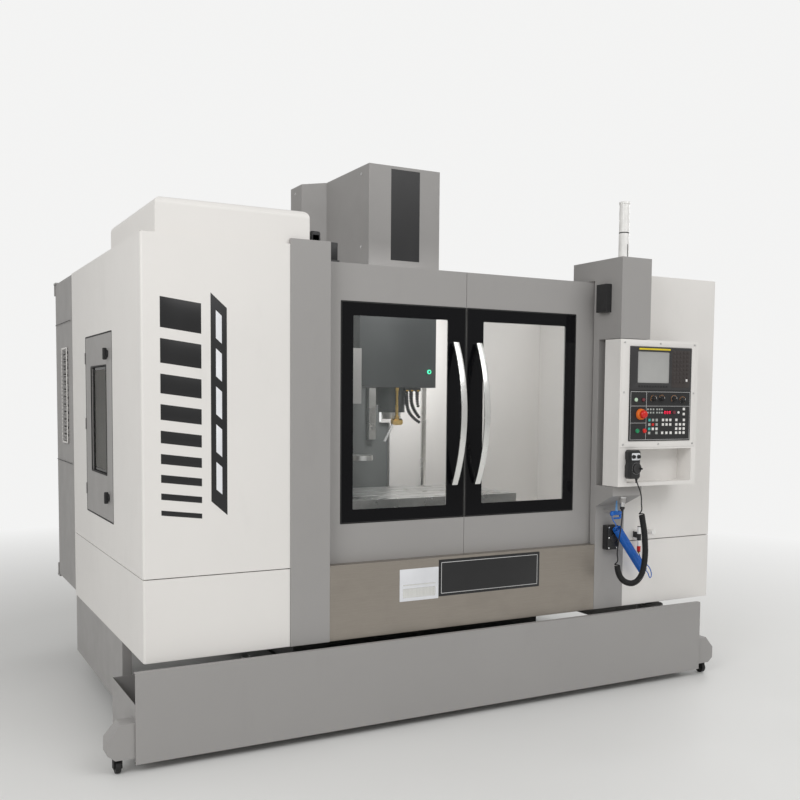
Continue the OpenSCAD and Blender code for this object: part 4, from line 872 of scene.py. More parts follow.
# Operators
class MACHINE_OT_stage(bpy.types.Operator):
    """Camera at the photograph's angle, soft lamps, a plain floor and a pale background"""

    bl_idname = "machine.stage"
    bl_label = "Stage"
    bl_options = {"REGISTER", "UNDO"}

    def execute(self, context):
        scene, stage = context.scene, context.scene.machine_stage
        flat = math.cos(stage.pitch)
        forward = Vector((-math.sin(stage.yaw) * flat, math.cos(stage.yaw) * flat, math.sin(stage.pitch)))
        level = Vector((math.cos(stage.yaw), math.sin(stage.yaw), 0))
        rise = level.cross(forward)
        right = level * math.cos(stage.roll) + rise * math.sin(stage.roll)
        up = rise * math.cos(stage.roll) - level * math.sin(stage.roll)
        data = bpy.data.cameras.new("camera")
        data.lens = stage.lens
        data.sensor_width = 36
        data.shift_y = stage.rise
        data.clip_end = 200
        camera = bpy.data.objects.new("camera", data)
        camera.matrix_world = (Matrix.Translation(stage.camera_place)
                               @ Matrix((right, up, -forward)).transposed().to_4x4())
        scene.collection.objects.link(camera)
        scene.camera = camera
        lamps = (
            ("key_lamp", (1.6, -5.5, 5.2), (0.1, 0, 1.0), (5.0, 3.0), stage.key_power),
            ("fill_lamp", (-5.0, -3.8, 4.0), (0.2, -0.6, 1.2), (3.0, 3.0), stage.fill_power),
            ("right_lamp", (6.0, 1.5, 4.5), (0.6, 0, 1.1), (3.5, 3.0), stage.fill_power * 0.7),
            ("inner_lamp", at(270, 900, 1950), at(150, 1477, 1250), (0.35, 0.35), stage.inner_power),
            ("front_lamp", at(-300, 330, 2030), at(-200, 900, 1000), (0.9, 0.3), stage.inner_power * 0.3))
        for name, place, target, size, power in lamps:
            lamp = bpy.data.lights.new(name, "AREA")
            lamp.shape = "RECTANGLE"
            lamp.size, lamp.size_y = size
            lamp.energy = power
            holder = bpy.data.objects.new(name, lamp)
            aim = (Vector(target) - Vector(place)).to_track_quat("-Z", "Y").to_matrix().to_4x4()
            holder.matrix_world = Matrix.Translation(place) @ aim
            scene.collection.objects.link(holder)
        world = bpy.data.worlds.new("studio")
        world.use_nodes = True
        tree = world.node_tree
        light, paper = tree.nodes["Background"], tree.nodes.new("ShaderNodeBackground")
        light.inputs["Color"].default_value = (0.98, 0.975, 0.96, 1)
        light.inputs["Strength"].default_value = stage.sky_strength
        paper.inputs["Color"].default_value = PALE
        ray, mix = tree.nodes.new("ShaderNodeLightPath"), tree.nodes.new("ShaderNodeMixShader")
        seen = tree.nodes.new("ShaderNodeMath")
        seen.operation = "MAXIMUM"
        tree.links.new(ray.outputs["Is Camera Ray"], seen.inputs[0])
        tree.links.new(ray.outputs["Is Transmission Ray"], seen.inputs[1])
        tree.links.new(seen.outputs[0], mix.inputs[0])
        tree.links.new(light.outputs[0], mix.inputs[1])
        tree.links.new(paper.outputs[0], mix.inputs[2])
        tree.links.new(mix.outputs[0], tree.nodes["World Output"].inputs["Surface"])
        scene.world = world
        mesh = bpy.data.meshes.new("floor")
        mesh.from_pydata([(-40, -40, 0), (40, -40, 0), (40, 40, 0), (-40, 40, 0)], [], [(0, 1, 2, 3)])
        mesh.transform(Matrix.Translation((0, 0, -0.0005)))
        paint = Paintbox("plain_floor", stage.floor_colour, 0.55)
        paint.roughness_from(paint.span(paint.noise(2.0, 5.0), 0.48, 0.62))
        self.fade(paint)
        mesh.materials.append(paint.material)
        ground = bpy.data.objects.new("floor", mesh)
        scene.collection.objects.link(ground)
        scene.view_settings.view_transform = "Standard"
        return {"FINISHED"}

    def fade(self, paint):
        """The floor turns into the pale background away from the machine, for the camera only."""
        far = paint.add("ShaderNodeVectorMath", operation="LENGTH")
        paint.link(paint.place, far.inputs[0])
        reach = paint.span(far.outputs["Value"], 0.0, 1.0, 2.4, 6.5)
        seen = paint.add("ShaderNodeLightPath").outputs["Is Camera Ray"]
        share = paint.add("ShaderNodeMath", operation="MULTIPLY")
        paint.link(reach, share.inputs[0])
        paint.link(seen, share.inputs[1])
        pale = paint.add("ShaderNodeEmission")
        pale.inputs["Color"].default_value = PALE
        mix = paint.add("ShaderNodeMixShader")
        paint.link(share.outputs[0], mix.inputs[0])
        paint.link(paint.shader.outputs[0], mix.inputs[1])
        paint.link(pale.outputs[0], mix.inputs[2])
        paint.link(mix.outputs[0], paint.tree.nodes["Material Output"].inputs["Surface"])


# The finish of the frame's own nodes, by their material slot
CARRIED = {"white_paint": "white", "grey_paint": "grey", "casting_paint": "casting", "dark_paint": "dark",
           "stainless": "apron", "steel": "steel", "black_plastic": "black", "black_paint": "black_paint",
           "red_plastic": "red", "green_plastic": "green", "lamp_plastic": "white_plastic",
           "blue_plastic": "blue", "cord_rubber": "rubber", "castor_rubber": "rubber",
           "window_glass": "glass"}


class MACHINE_OT_finishes(bpy.types.Operator):
    """Paint, metal and plastic finishes on the frame's own nodes, with softened edges"""

    bl_idname = "machine.finishes"
    bl_label = "Finishes"
    bl_options = {"REGISTER", "UNDO"}

    def execute(self, context):
        settings = context.scene.machine_finishes
        make_finishes(settings)
        RECIPES.update(copies=copies_recipe(), border=border_recipe(), links=segments_recipe(),
                       slats=slats_recipe(), soften=soften_recipe())
        for row in frame["record"]["subparts"]:
            obj = frame["nodes"][row["node"]]
            finish = CARRIED[row["material_slot"]]
            if not obj.material_slots:
                obj.data.materials.append(FINISH[finish])
            for slot in obj.material_slots:
                slot.material = FINISH[finish]
            weld = obj.modifiers.new("weld", "WELD")
            weld.merge_threshold = 1e-5
            flat = obj.modifiers.new("flat_faces", "DECIMATE")
            flat.decimate_type = "DISSOLVE"
            flat.angle_limit = math.radians(1.0)
            edge = obj.modifiers.new("soft_edges", "BEVEL")
            edge.width = settings.edge_round
            edge.segments = 2
            edge.limit_method = "ANGLE"
            edge.angle_limit = math.radians(40)
            RECIPES["soften"].attach(obj, finish)
            even = obj.modifiers.new("even_shading", "WEIGHTED_NORMAL")
            even.keep_sharp = True
        return {"FINISHED"}


# Routes of the cord and of the hose, in millimetres, as the part's source gives them
CORD_UPPER = ((806, -104, 905), (806, -104, 880), (803, -104, 850), (796, -105, 810), (786, -107, 765),
              (777, -109, 720), (773, -111, 680), (774, -112, 655))
CURL_ROUTE = ((774, -112, 655), (775, -113, 632), (781, -115, 605), (794, -118, 580), (815, -122, 561),
              (842, -127, 551), (868, -131, 552), (889, -136, 565), (903, -141, 588), (911, -146, 620),
              (914, -151, 660), (912, -156, 708), (904, -161, 760), (892, -166, 815), (877, -170, 865),
              (865, -174, 905))
CORD_LOWER = ((865, -174, 905), (861, -176, 928), (860, -178, 952), (857, -180, 977), (851, -181, 1000),
              (842, -181, 1021), (832, -181, 1040), (824, -181, 1057), (821, -181, 1072))
COIL_ROUTE = ((1000, -62, 575), (795, -62, 835))
HOSE_LOWER = ((979, -36, 684), (988, -37, 658), (1004, -39, 638), (1025, -43, 620), (1043, -48, 600),
              (1050, -53, 577), (1044, -57, 559), (1028, -60, 553), (1012, -62, 561), (1000, -62, 575))
HOSE_UPPER = ((795, -62, 835), (786, -62, 846), (781, -61, 857), (780, -60, 868), (780, -60, 880))
PLUG_PLACE, GLAND_PLACE = CORD_UPPER[0], CORD_LOWER[-1]
VALVE_PLACE, GUN_PLACE = HOSE_LOWER[0], HOSE_UPPER[-1]


class MACHINE_OT_cords(bpy.types.Operator):
    """The pendant's curly cord with its plug, and the coiled air hose with its gun"""

    bl_idname = "machine.cords"
    bl_label = "Cord and hose"
    bl_options = {"REGISTER", "UNDO"}

    def execute(self, context):
        s = context.scene.machine_cords
        shell = [(4.2, 0), (5.0, 1), (6.4, 8), (9.8, 11), (11.6, 14), (11.6, 24), (6, 24)]
        plug = turned_piece("pendant_plug_shell", PLUG_PLACE, shell, "control_box", "black", sides=32)
        metal = [(6, 24), (11.2, 24), (12, 25), (12, 30), (11.2, 31), (10.4, 31), (10.4, 32), (11.2, 32),
                 (12, 33), (12, 42), (11.4, 44), (4, 44)]
        ferrule = turned_piece("pendant_plug_ring", PLUG_PLACE, metal, "control_box", "chrome",
                               replaces=["pendant_plug"])
        route = wound(smooth_route(CORD_UPPER, 6), smooth_route(CURL_ROUTE, 4), smooth_route(CORD_LOWER, 6),
                      s.curl_radius / MM, 2.1 * s.cord_radius / MM, s.points_per_turn)
        line = [at(*p) for p in route]
        cord = tube_curve("pendant_cord_curly", line, s.cord_radius)
        cord.data.materials.append(FINISH["rubber"])
        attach(cord, "control_box")
        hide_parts("pendant_cord", "pendant_curl")
        self.air(s)
        return {"FINISHED"}

    def air(self, s):
        coil = evenly([Vector(p) for p in COIL_ROUTE], 4)
        route = wound(smooth_route(HOSE_LOWER, 6), coil, smooth_route(HOSE_UPPER, 4), s.coil_radius / MM,
                      2.25 * s.hose_radius / MM, s.points_per_turn)
        line = [at(*p) for p in route]
        hose = tube_curve("air_hose_coiled", line, s.hose_radius)
        hose.data.materials.append(FINISH["blue"])
        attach(hose, "frame")
        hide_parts("air_hose", "air_coil")
        socket = [(3.5, 0), (6, 0), (9, 2), (10.4, 6), (10.4, 16), (8, 19), (0, 19)]
        barrel = [(0, 0), (7, 0), (10.6, 3), (11.4, 9), (11.4, 50), (9.4, 58), (6, 62), (0, 62)]
        body = solid_piece("air_gun_body", [
            (add_turned, GUN_PLACE, socket, "Z", 32),
            (add_turned, (774, -61, 893), barrel, "X", 32),
            (add_block, (790, -66, 862), (832, -56, 871), 3.5, 3),
            (add_block, (826, -66, 864), (836, -56, 888), 3.5, 3)], "frame", "blue", ["air_gun"])
        nozzle = [(0, 0), (8, 0), (8, 6), (5.4, 11), (4.2, 44), (3.2, 55), (1.4, 55), (1.4, 50), (0, 50)]
        tip = turned_piece("air_gun_nozzle", (806, -61, 900), nozzle, "frame", "pale_blue", sides=24)


class MACHINE_OT_windows(bpy.types.Operator):
    """Black borders, clear panes and rubber beads of the doors' windows and of the side door's"""

    bl_idname = "machine.windows"
    bl_label = "Windows"
    bl_options = {"REGISTER", "UNDO"}

    def execute(self, context):
        s = context.scene.machine_windows
        near, far, corner = s.near_border, s.far_border, s.corner
        for side in ("left", "right"):
            low, high = box_mm(side + "_window")
            left, right = (far, near) if side == "left" else (near, far)
            self.pane(side + "_window", side + "_door", low, high, left / MM, right / MM, far / MM, corner)
        inset = 0.026
        low, high = box_mm("side_window")
        border = RECIPES["border"].grow(
            bpy.data.meshes.new("seed"), "frit", Width=(high.y - low.y) * MM, Height=(high.z - low.z) * MM,
            Left_border=inset, Right_border=inset, Far_border=inset, Corner=corner, Thickness=0.005)
        border.transform(Matrix.Translation((0, 0, -0.005)))
        middle = Matrix.Translation(at(low.x, (low.y + high.y) / 2, (low.z + high.z) / 2))
        border.transform(middle @ TO_LEFT)
        piece("side_window_border", border, "side_door", None)
        plate_piece("side_window_pane", [rounded(-high.y + 22, low.z + 22, -low.y - 22, high.z - 22, 4)],
            3.0, low.x + 1, "side_door", "glass", "left", replaces=["side_window"])
        bead = [rounded(-high.y + u, low.z + u, -low.y - u, high.z - u, r) for u, r in ((5, 8), (12, 5))]
        plate_piece("side_window_bead", bead, 3.0, SIDE_FACE - 2, "side_door", "rubber", "left", 0.8)
        low, high = box_mm("side_door")
        door = [rounded(-high.y - 7 + u, low.z + 3 + u, -low.y + 7 - u, high.z - 3 - u, r)
                for u, r in ((0, 6), (6, 3))]
        plate_piece("side_door_seal", door, 2.0, SIDE_FACE - 0.6, "frame", "rubber", "left", 0.5)
        return {"FINISHED"}

    def pane(self, name, body, low, high, left, right, far, corner):
        middle = at((low.x + high.x) / 2, low.y, (low.z + high.z) / 2)
        border = RECIPES["border"].grow(
            bpy.data.meshes.new("seed"), "frit", Width=(high.x - low.x) * MM, Height=(high.z - low.z) * MM,
            Left_border=left * MM, Right_border=right * MM, Far_border=far * MM, Corner=corner,
            Thickness=0.0056)
        border.transform(Matrix.Translation((0, 0, -0.0056)))
        border.transform(Matrix.Translation(middle) @ TO_FRONT)
        piece(name + "_border", border, body, None, [name])
        clear = [rounded(low.x + left - 4, low.z + far - 4, high.x - right + 4, high.z - far + 4, 8)]
        plate_piece(name + "_clear", clear, 3.0, low.y + 1.2, body, "glass")
        bead = [rounded(low.x - 3.5, low.z - 3.5, high.x + 3.5, high.z + 3.5, 4),
                rounded(low.x + 3, low.z + 3, high.x - 3, high.z - 3, 2)]
        plate_piece(name + "_bead", bead, 3.0, low.y - 2.4, body, "rubber", bevel=0.9)


class MACHINE_OT_handles(bpy.types.Operator):
    """The doors' bulging flat handles on their spacers"""

    bl_idname = "machine.handles"
    bl_label = "Door handles"
    bl_options = {"REGISTER", "UNDO"}

    def execute(self, context):
        s = context.scene.machine_windows
        for side in ("left", "right"):
            low, high = box_mm(side + "_handle")
            x, half, middle = (low.x + high.x) / 2, (high.z - low.z) / 2, (high.z + low.z) / 2
            sag = 77.0
            radius = (half * half + sag * sag) / (2 * sag)
            thick = s.handle_thickness / MM
            route, steps = [], 48
            for k in range(steps + 1):
                a = math.asin(half / radius) * (2 * k / steps - 1)
                route.append(at(x, low.y + radius - (radius - thick / 2) * math.cos(a),
                                middle + (radius - thick / 2) * math.sin(a)))
            w, t = s.handle_width / MM / 2, thick / 2
            bar = swept_mesh(route, rounded(-w, -t, w, t, 2.6, 3), Vector((1, 0, 0)))
            piece(side + "_handle_bar", bar, side + "_door", "bar", [side + "_handle"])
            feet = bmesh.new()
            spacer = [(9, 0), (11, 0), (11, 3), (8.5, 4), (8.5, 17), (7, 18.4)]
            for sign in (-1, 1):
                add_turned(feet, (x, 50.6, middle + sign * (half - 14)), spacer, "-Y", 28)
            piece(side + "_handle_feet", mesh_of(feet), side + "_door", "black")
        return {"FINISHED"}


class MACHINE_OT_decor(bpy.types.Operator):
    """A plain stripe pattern on the left panel, the magazine cover's seam and two plates on the apron"""

    bl_idname = "machine.decor"
    bl_label = "Bands and plates"
    bl_options = {"REGISTER", "UNDO"}

    def execute(self, context):
        bands, top, tall = [], 1833, 118
        for _ in range(9):
            bands.append(slanted(-1427, -1265, top - tall, top, -20))
            top -= tall + 42
            tall *= 0.8
        plate_piece("panel_bands", bands, 0.7, -0.5, "frame", "ink", bevel=0.15)
        strip = [slanted(-1227, -1161, 1033, 1858, -58)]
        plate_piece("panel_strip", strip, 0.7, -0.5, "frame", "ink", bevel=0.15)
        dashes = [slanted(-1206, -1182, 1080 + 150 * k, 1190 + 150 * k, -21) for k in range(5)]
        plate_piece("panel_strip_dashes", dashes, 0.4, -0.8, "frame", "plate", bevel=0.1)
        start, end = SIDE_FACE + 2, box_mm("left_post")[0].x - 1
        seam = [[(start, 2072.5), (end, 2072.5), (end, 2074.5), (start, 2074.5)]]
        plate_piece("magazine_cover_seam", seam, 0.4, -0.2, "frame", "grey", bevel=0.05)
        front = box_mm("apron")[0].y
        plate_piece("apron_white_plate", [rounded(-373, 547, -174, 691, 3)], 2.2, front - 2, "frame",
            "plate", bevel=0.5)
        plate_piece("apron_black_plate", [rounded(-172, 554, 387, 721, 3)], 2.2, front - 2, "frame",
            "ink", bevel=0.5)
        line = [rounded(-160, 566, 375, 709, 3), rounded(-157.5, 568.5, 372.5, 706.5, 2)]
        plate_piece("apron_plate_line", line, 0.4, front - 2.2, "frame", "line", bevel=0.1)
        stripe = [rounded(-357, 562, -190, 604, 2), rounded(-357, 616, -190, 622, 1)]
        plate_piece("apron_plate_stripe", stripe, 0.4, front - 2.2, "frame", "bar", bevel=0.1)
        return {"FINISHED"}


class MACHINE_OT_display(bpy.types.Operator):
    """The display unit: its bezel, screen, soft keys and port, and the box's screwed face plate"""

    bl_idname = "machine.display"
    bl_label = "Display unit"
    bl_options = {"REGISTER", "UNDO"}

    def execute(self, context):
        s = context.scene.machine_controls
        low, high = box_mm("display_unit")
        x0, x1, z0, z1, front = low.x, high.x, low.z, high.z, low.y
        block_piece("display_case", [((x0, front + 4.5, z0), (x1, high.y, z1))], "control_box", "bezel",
            2.0, ["display_unit"])
        screen = (831, 1533, 1034, 1684)
        face = [rounded(x0, z0, x1, z1, 4), rounded(*screen, 4)]
        plate_piece("display_bezel", face, 5.0, front, "control_box", "bezel", bevel=1.4)
        pane = [rounded(screen[0] - 1, screen[1] - 1, screen[2] + 1, screen[3] + 1, 3)]
        plate_piece("display_screen", pane, 1.2, front + 3.4, "control_box", "screen")
        plate_piece("display_strip", [rounded(836, 1692, 1037, 1700, 1)], 0.7, front - 0.5, "control_box",
                    "yellow", bevel=0.15)
        plate_piece("display_key_field", [rounded(1048, 1512, 1168, 1694, 4)], 0.7, front - 0.5,
            "control_box", "brown", bevel=0.2)
        soft = [(842 + 17.5 * k, front, 1516) for k in range(11)]
        repeated("display_soft_keys", cap_mesh(0.012, 0.0095, 0.0012), soft, TO_FRONT_TURN, "control_box",
                 "black")
        keys = [(1063 + 22.5 * i, front - 0.5, 1540 + 20.5 * k) for i in range(5) for k in range(8)
                if not (i == 4 and k == 0)]
        repeated("display_data_keys", cap_mesh(0.016, 0.0135, 0.0014), keys, TO_FRONT_TURN, "control_box",
                 "brown")
        block_piece("display_port", [((1141, front - 1.2, 1542), (1153, front + 0.5, 1555))], "control_box",
                    "white_plastic", 0.8)
        box_front = box_mm("control_box")[0].y
        plate = [rounded(735, 1221, 1213, 1733, 5), rounded(x0 - 1.5, 1250.5, x1 + 1.5, z1 + 1.5, 3)]
        plate_piece("face_plate", plate, 1.8, box_front - 1.6, "control_box", "white", bevel=0.5)
        heads = [(x, box_front - 1.6, z) for x in (749, 974, 1199) for z in (1724, 1236)]
        heads += [(x, box_front - 1.6, 1486) for x in (749, 1199)]
        repeated("face_plate_screws", screw_mesh(s.screw_radius), heads, TO_FRONT_TURN, "control_box",
            "steel", 1.0)
        return {"FINISHED"}


def arc_marks(x, z, radius, start, end, count, width, reach):
    """Short marks round a knob, as outlines."""
    marks = []
    for k in range(count):
        a = math.radians(start + (end - start) * k / (count - 1))
        ahead, side = Vector((math.sin(a), math.cos(a))), Vector((math.cos(a), -math.sin(a)))
        foot = Vector((x, z)) + ahead * radius
        corners = [foot - side * width / 2, foot + side * width / 2,
                   foot + side * width / 2 + ahead * reach, foot - side * width / 2 + ahead * reach]
        marks.append([tuple(c) for c in corners])
    return marks


class MACHINE_OT_keyboard(bpy.types.Operator):
    """The operator panel: lines, keys, lit digits, knobs, start and stop buttons and the emergency stop"""

    bl_idname = "machine.keyboard"
    bl_label = "Operator panel"
    bl_options = {"REGISTER", "UNDO"}

    def execute(self, context):
        s = context.scene.machine_controls
        low, high = box_mm("operator_panel")
        front, w = low.y, s.line_width / MM
        x0, x1, z0, z1 = low.x + 6, high.x - 6, low.z + 5, high.z - 6
        lines = [rounded(x0, z0, x1, z1, 2), rounded(x0 + w, z0 + w, x1 - w, z1 - w, 1)]
        ruled = [[(888, z0 + w), (888 + w, z0 + w), (888 + w, z1 - w), (888, z1 - w)]]
        cross = [[(x0 + w, 1420), (888, 1420), (888, 1420 + w), (x0 + w, 1420 + w)],
                 [(888 + w, 1420), (x1 - w, 1420), (x1 - w, 1420 + w), (888 + w, 1420 + w)],
                 [(x0 + w, 1338), (888, 1338), (888, 1338 + w), (x0 + w, 1338 + w)]]
        meshes = [plate_mesh(part, 0.5, "front", front - 0.4, 0.1) for part in (lines, ruled, cross)]
        piece("panel_lines", joined(meshes), "control_box", "line")
        self.keys(s, front)
        self.digits(front)
        self.knobs(front)
        self.buttons(front)
        return {"FINISHED"}

    def keys(self, s, front):
        rows = (1353, 1331, 1310, 1290)
        white = [(x, front, z) for x in (998, 1022, 1046) for z in rows[:2]]
        white += [(x, front, rows[3]) for x in (994, 1022, 1050)]
        white += [(x, front, z) for x in (1086, 1111, 1136) for z in rows[1:]]
        white += [(x, front, rows[0]) for x in (1086, 1136)] + [(1134, front, z) for z in (1407, 1382)]
        white += [(x, front, rows[2]) for x in (933, 957)]
        pale = [(957, front, z) for z in (rows[0], rows[1], rows[3])] + [(910, front, rows[1])]
        pale += [(910, front, rows[3]), (933, front, rows[0])]
        size = s.key_size
        for name, spots, finish in (("white", white, "white_plastic"), ("pale", pale, "pale_key"),
                                    ("teal", [(910, front, rows[0]), (910, front, rows[2])], "teal"),
                                    ("red", [(933, front, rows[1])], "red")):
            repeated("keys_" + name, cap_mesh(size * 1.25, size * 1.1, s.key_rise), spots, TO_FRONT_TURN,
                     "control_box", finish, 0.0)
        small = [(x, front, z) for x in (899, 917, 935, 958, 974, 990) for z in (1405, 1389)]
        repeated("keys_small", cap_mesh(0.0095, 0.008, 0.001, 0.3), small, TO_FRONT_TURN, "control_box",
                 "pale_key")

    def digits(self, front):
        window = [rounded(1000, 1381, 1050, 1400, 2)]
        plate_piece("digit_window", window, 0.8, front - 0.6, "control_box", "frit", bevel=0.2)
        bars = []
        for x in (1004, 1020, 1036):
            for z in (1384, 1390, 1396):
                bars.append([(x + 1, z - 0.7), (x + 9, z - 0.7), (x + 9, z + 0.7), (x + 1, z + 0.7)])
            for u in (0, 9):
                for z in (1385.2, 1391.2):
                    bars.append([(x + u, z), (x + u + 1.5, z), (x + u + 1.5, z + 4), (x + u, z + 4)])
        plate_piece("digits", bars, 0.3, front - 0.8, "control_box", "red_digit", bevel=0.05)

    def knobs(self, front):
        profile = [(11.5, 0), (12.6, 0.6), (12.6, 3), (11.4, 4.2), (10.6, 14.5), (9.4, 16), (0, 16)]
        mode, feed = front_middle("mode_knob"), front_middle("feed_knob")
        rapid, speed = (988, 1456), (1124, 1450)
        for name, (x, z), body, node in (("mode_knob", mode, "mode_knob", ["mode_knob"]),
                                         ("rapid_knob", rapid, "control_box", []),
                                         ("feed_knob", feed, "feed_knob", ["feed_knob"]),
                                         ("speed_knob", speed, "control_box", [])):
            solid_piece(name + "_cap", [
                (add_turned, (x, front - 0.4, z), profile, "-Y", 36),
                (add_block, (x - 2.6, front - 19, z - 11), (x + 2.6, front - 15, z + 11), 0.9)],
                body, "black", node)
            tip = [[(x - 0.8, z + 1), (x + 0.8, z + 1), (x + 0.8, z + 10), (x - 0.8, z + 10)]]
            plate_piece(name + "_mark", tip, 0.3, front - 19.2, body, "white_plastic", bevel=0.05)
        scales = []
        for (x, z), count in ((mode, 7), (rapid, 4), (feed, 13), (speed, 9)):
            reach = 130 if count > 6 else 60
            scales += arc_marks(x, z, 14.4, -reach, reach, count, 1.2, 2.4)
        plate_piece("knob_scales", scales, 0.4, front - 0.3, "control_box", "line", bevel=0.05)
        bands = []
        for (x, z), start, end in ((mode, -125, -20), (mode, 35, 110), (rapid, -60, 60), (feed, -130, 60),
                                   (speed, -90, 130)):
            outer = [math.radians(start + (end - start) * k / 14) for k in range(15)]
            bands.append([(x + 19.4 * math.sin(a), z + 19.4 * math.cos(a)) for a in outer]
                         + [(x + 18.2 * math.sin(a), z + 18.2 * math.cos(a)) for a in reversed(outer)])
        plate_piece("knob_bands", bands, 0.4, front - 0.3, "control_box", "amber", bevel=0.05)
        dial = [(1068, front, 1390), (868, front, 1451)]
        repeated("fixed_dials", turned_mesh([(8.5, 0), (9, 0.5), (9, 4), (7.6, 6.5), (0, 6.5)], 28), dial,
                 TO_FRONT_TURN, "control_box", "maroon")

    def buttons(self, front):
        (start_x, start_z), (stop_x, stop_z) = front_middle("start_button"), front_middle("stop_button")
        rings = [(start_x + 1, front, start_z), (stop_x, front, stop_z)]
        ring = [(11.3, 0), (14.2, 0), (14.2, 1.4), (13.2, 2.4), (11.8, 2.4), (11.3, 1.6)]
        repeated("button_rings", turned_mesh(ring, 36), rings, TO_FRONT_TURN, "control_box", "bezel")
        repeated("lit_button", turned_mesh([(8.8, 0), (9.4, 0.6), (9.4, 4), (8.2, 5.2), (0, 5.6)], 28),
                 [(822, front, 1451)], TO_FRONT_TURN, "control_box", "pale_green")
        repeated("small_button", turned_mesh([(5.8, 0), (6.2, 0.5), (6.2, 3), (5.2, 4), (0, 4.2)], 24),
                 [(1097, front, 1390)], TO_FRONT_TURN, "control_box", "white_plastic")
        cap = [(10.9, -18), (10.9, 5.8), (10.2, 7.2), (8.6, 8), (8.0, 7.2), (0, 7.0)]
        for name, x, z, finish in (("start_button", start_x, start_z, "green"),
                                   ("stop_button", stop_x, stop_z, "red")):
            turned_piece(name + "_cap", (x, front, z), cap, name, finish, "-Y", 36, [name])
        x, z = front_middle("emergency_stop")
        shroud = [(7, 0), (27.5, 0), (27.5, 3), (26.6, 5), (25.6, 12), (24, 14.6), (21, 15.4), (9, 15.4),
            (7, 14.4)]
        turned_piece("stop_shroud", (x, front, z), shroud, "control_box", "orange", "-Y", 44)
        mushroom = [(5.6, -14), (5.6, 17.5), (17.6, 18.2), (19.6, 19.6), (20, 23), (19.3, 27.5),
            (17.2, 32), (13.6, 35.6), (8, 37.2), (0, 37.6)]
        turned_piece("stop_mushroom", (x, front, z), mushroom, "emergency_stop", "red", "-Y", 44,
                     ["emergency_stop"])


class MACHINE_OT_pendant(bpy.types.Operator):
    """The hand pendant: its shaped case, knob plate, selector knobs and hand wheel"""

    bl_idname = "machine.pendant"
    bl_label = "Hand pendant"
    bl_options = {"REGISTER", "UNDO"}

    def execute(self, context):
        low, high = box_mm("pendant")
        x0, x1, z0, z1 = low.x, high.x, low.z, high.z
        waist = [(x0 + 8, z0), (x1 - 8, z0), (x1, z0 + 9), (x1, z0 + 62), (x1 - 4, z0 + 74),
            (x1 - 4, z0 + 86), (x1, z0 + 98), (x1, z1 - 9), (x1 - 8, z1), (x0 + 8, z1), (x0, z1 - 9),
            (x0, z0 + 98), (x0 + 4, z0 + 86), (x0 + 4, z0 + 74), (x0, z0 + 62), (x0, z0 + 9)]
        case = plate_mesh([waist], high.y - low.y - 3, "front", low.y + 3, 4.5)
        piece("pendant_case", case, "control_box", "black", ["pendant"])
        face = [rounded(x0 + 6, z0 + 7, x1 - 6, z1 - 7, 6)]
        plate_piece("pendant_face", face, 4.0, low.y + 0.2, "control_box", "panel", bevel=0.8)
        plate_piece("pendant_knob_plate", [rounded(x0 + 8, 1162, x1 - 8, 1196, 4)], 1.0, low.y - 0.6,
                    "control_box", "plate", bevel=0.3)
        knob = [(8.6, 0), (9.6, 0.5), (9.6, 2.4), (8.2, 3.4), (7.8, 10), (0, 10)]
        for name, x in (("axis", 781), ("step", 812)):
            solid_piece("pendant_" + name + "_knob", [
                (add_turned, (x, low.y - 0.6, 1179), knob, "-Y", 30),
                (add_block, (x - 2.2, low.y - 13, 1171), (x + 2.2, low.y - 9, 1187), 0.8)],
                "control_box", "black")
        wheel_x, wheel_z = 803, 1122
        ring = [ring_outline(wheel_x, wheel_z, 30, 60), ring_outline(wheel_x, wheel_z, 25, 60)]
        plate_piece("pendant_dial", ring, 0.8, low.y - 0.5, "control_box", "bezel", bevel=0.2)
        ticks = arc_marks(wheel_x, wheel_z, 26, 0, 354, 60, 0.45, 3.2)
        plate_piece("pendant_dial_marks", ticks, 0.3, low.y - 0.65, "control_box", "line",
                    bevel=0.05)
        rim = [(6, -12), (6, 1.2), (22.4, 1.4), (23.8, 2.6), (23.8, 7), (22.6, 8.2), (18, 8.6), (16.5, 7.2),
               (6, 7.0), (0, 7.0)]
        turned_piece("pendant_wheel_rim", (wheel_x, low.y, wheel_z), rim, "pendant_wheel", "bezel", "-Y",
                     60, ["pendant_wheel"])
        turns = [2 * math.pi * k / 36 for k in range(36)]
        ribs = [(wheel_x + 23.6 * math.cos(a), low.y - 1.8, wheel_z + 23.6 * math.sin(a)) for a in turns]
        repeated("pendant_wheel_grip", turned_mesh([(0.9, 0), (1.2, 0.4), (1.2, 5.0), (0.9, 5.4)], 8), ribs,
                 TO_FRONT_TURN, "pendant_wheel", "black")
        crank = [(2.2, 0), (2.2, 2), (3.6, 2.4), (4.6, 5), (4.8, 9), (4.5, 13), (4.9, 15), (3.4, 16.8),
            (0, 17)]
        turned_piece("pendant_crank", (817, low.y - 7.5, wheel_z), crank, "pendant_wheel", "black",
                     "-Y", 24)
        gland = [(3, -22), (3.9, -22), (4.4, -14), (5.6, -6), (6.6, -5), (6.6, 0.5), (3, 0.5)]
        turned_piece("pendant_gland", (*GLAND_PLACE[:2], z0), gland, "control_box", "black", sides=24)
        x, y, z = PLUG_PLACE
        collar = [(6, 0), (13, 0), (13.6, 2), (13.6, 20), (17.5, 21), (17.5, 28), (6, 28)]
        turned_piece("socket_collar", (x, y, z + 44.4), collar, "frame", "chrome", sides=36)
        return {"FINISHED"}


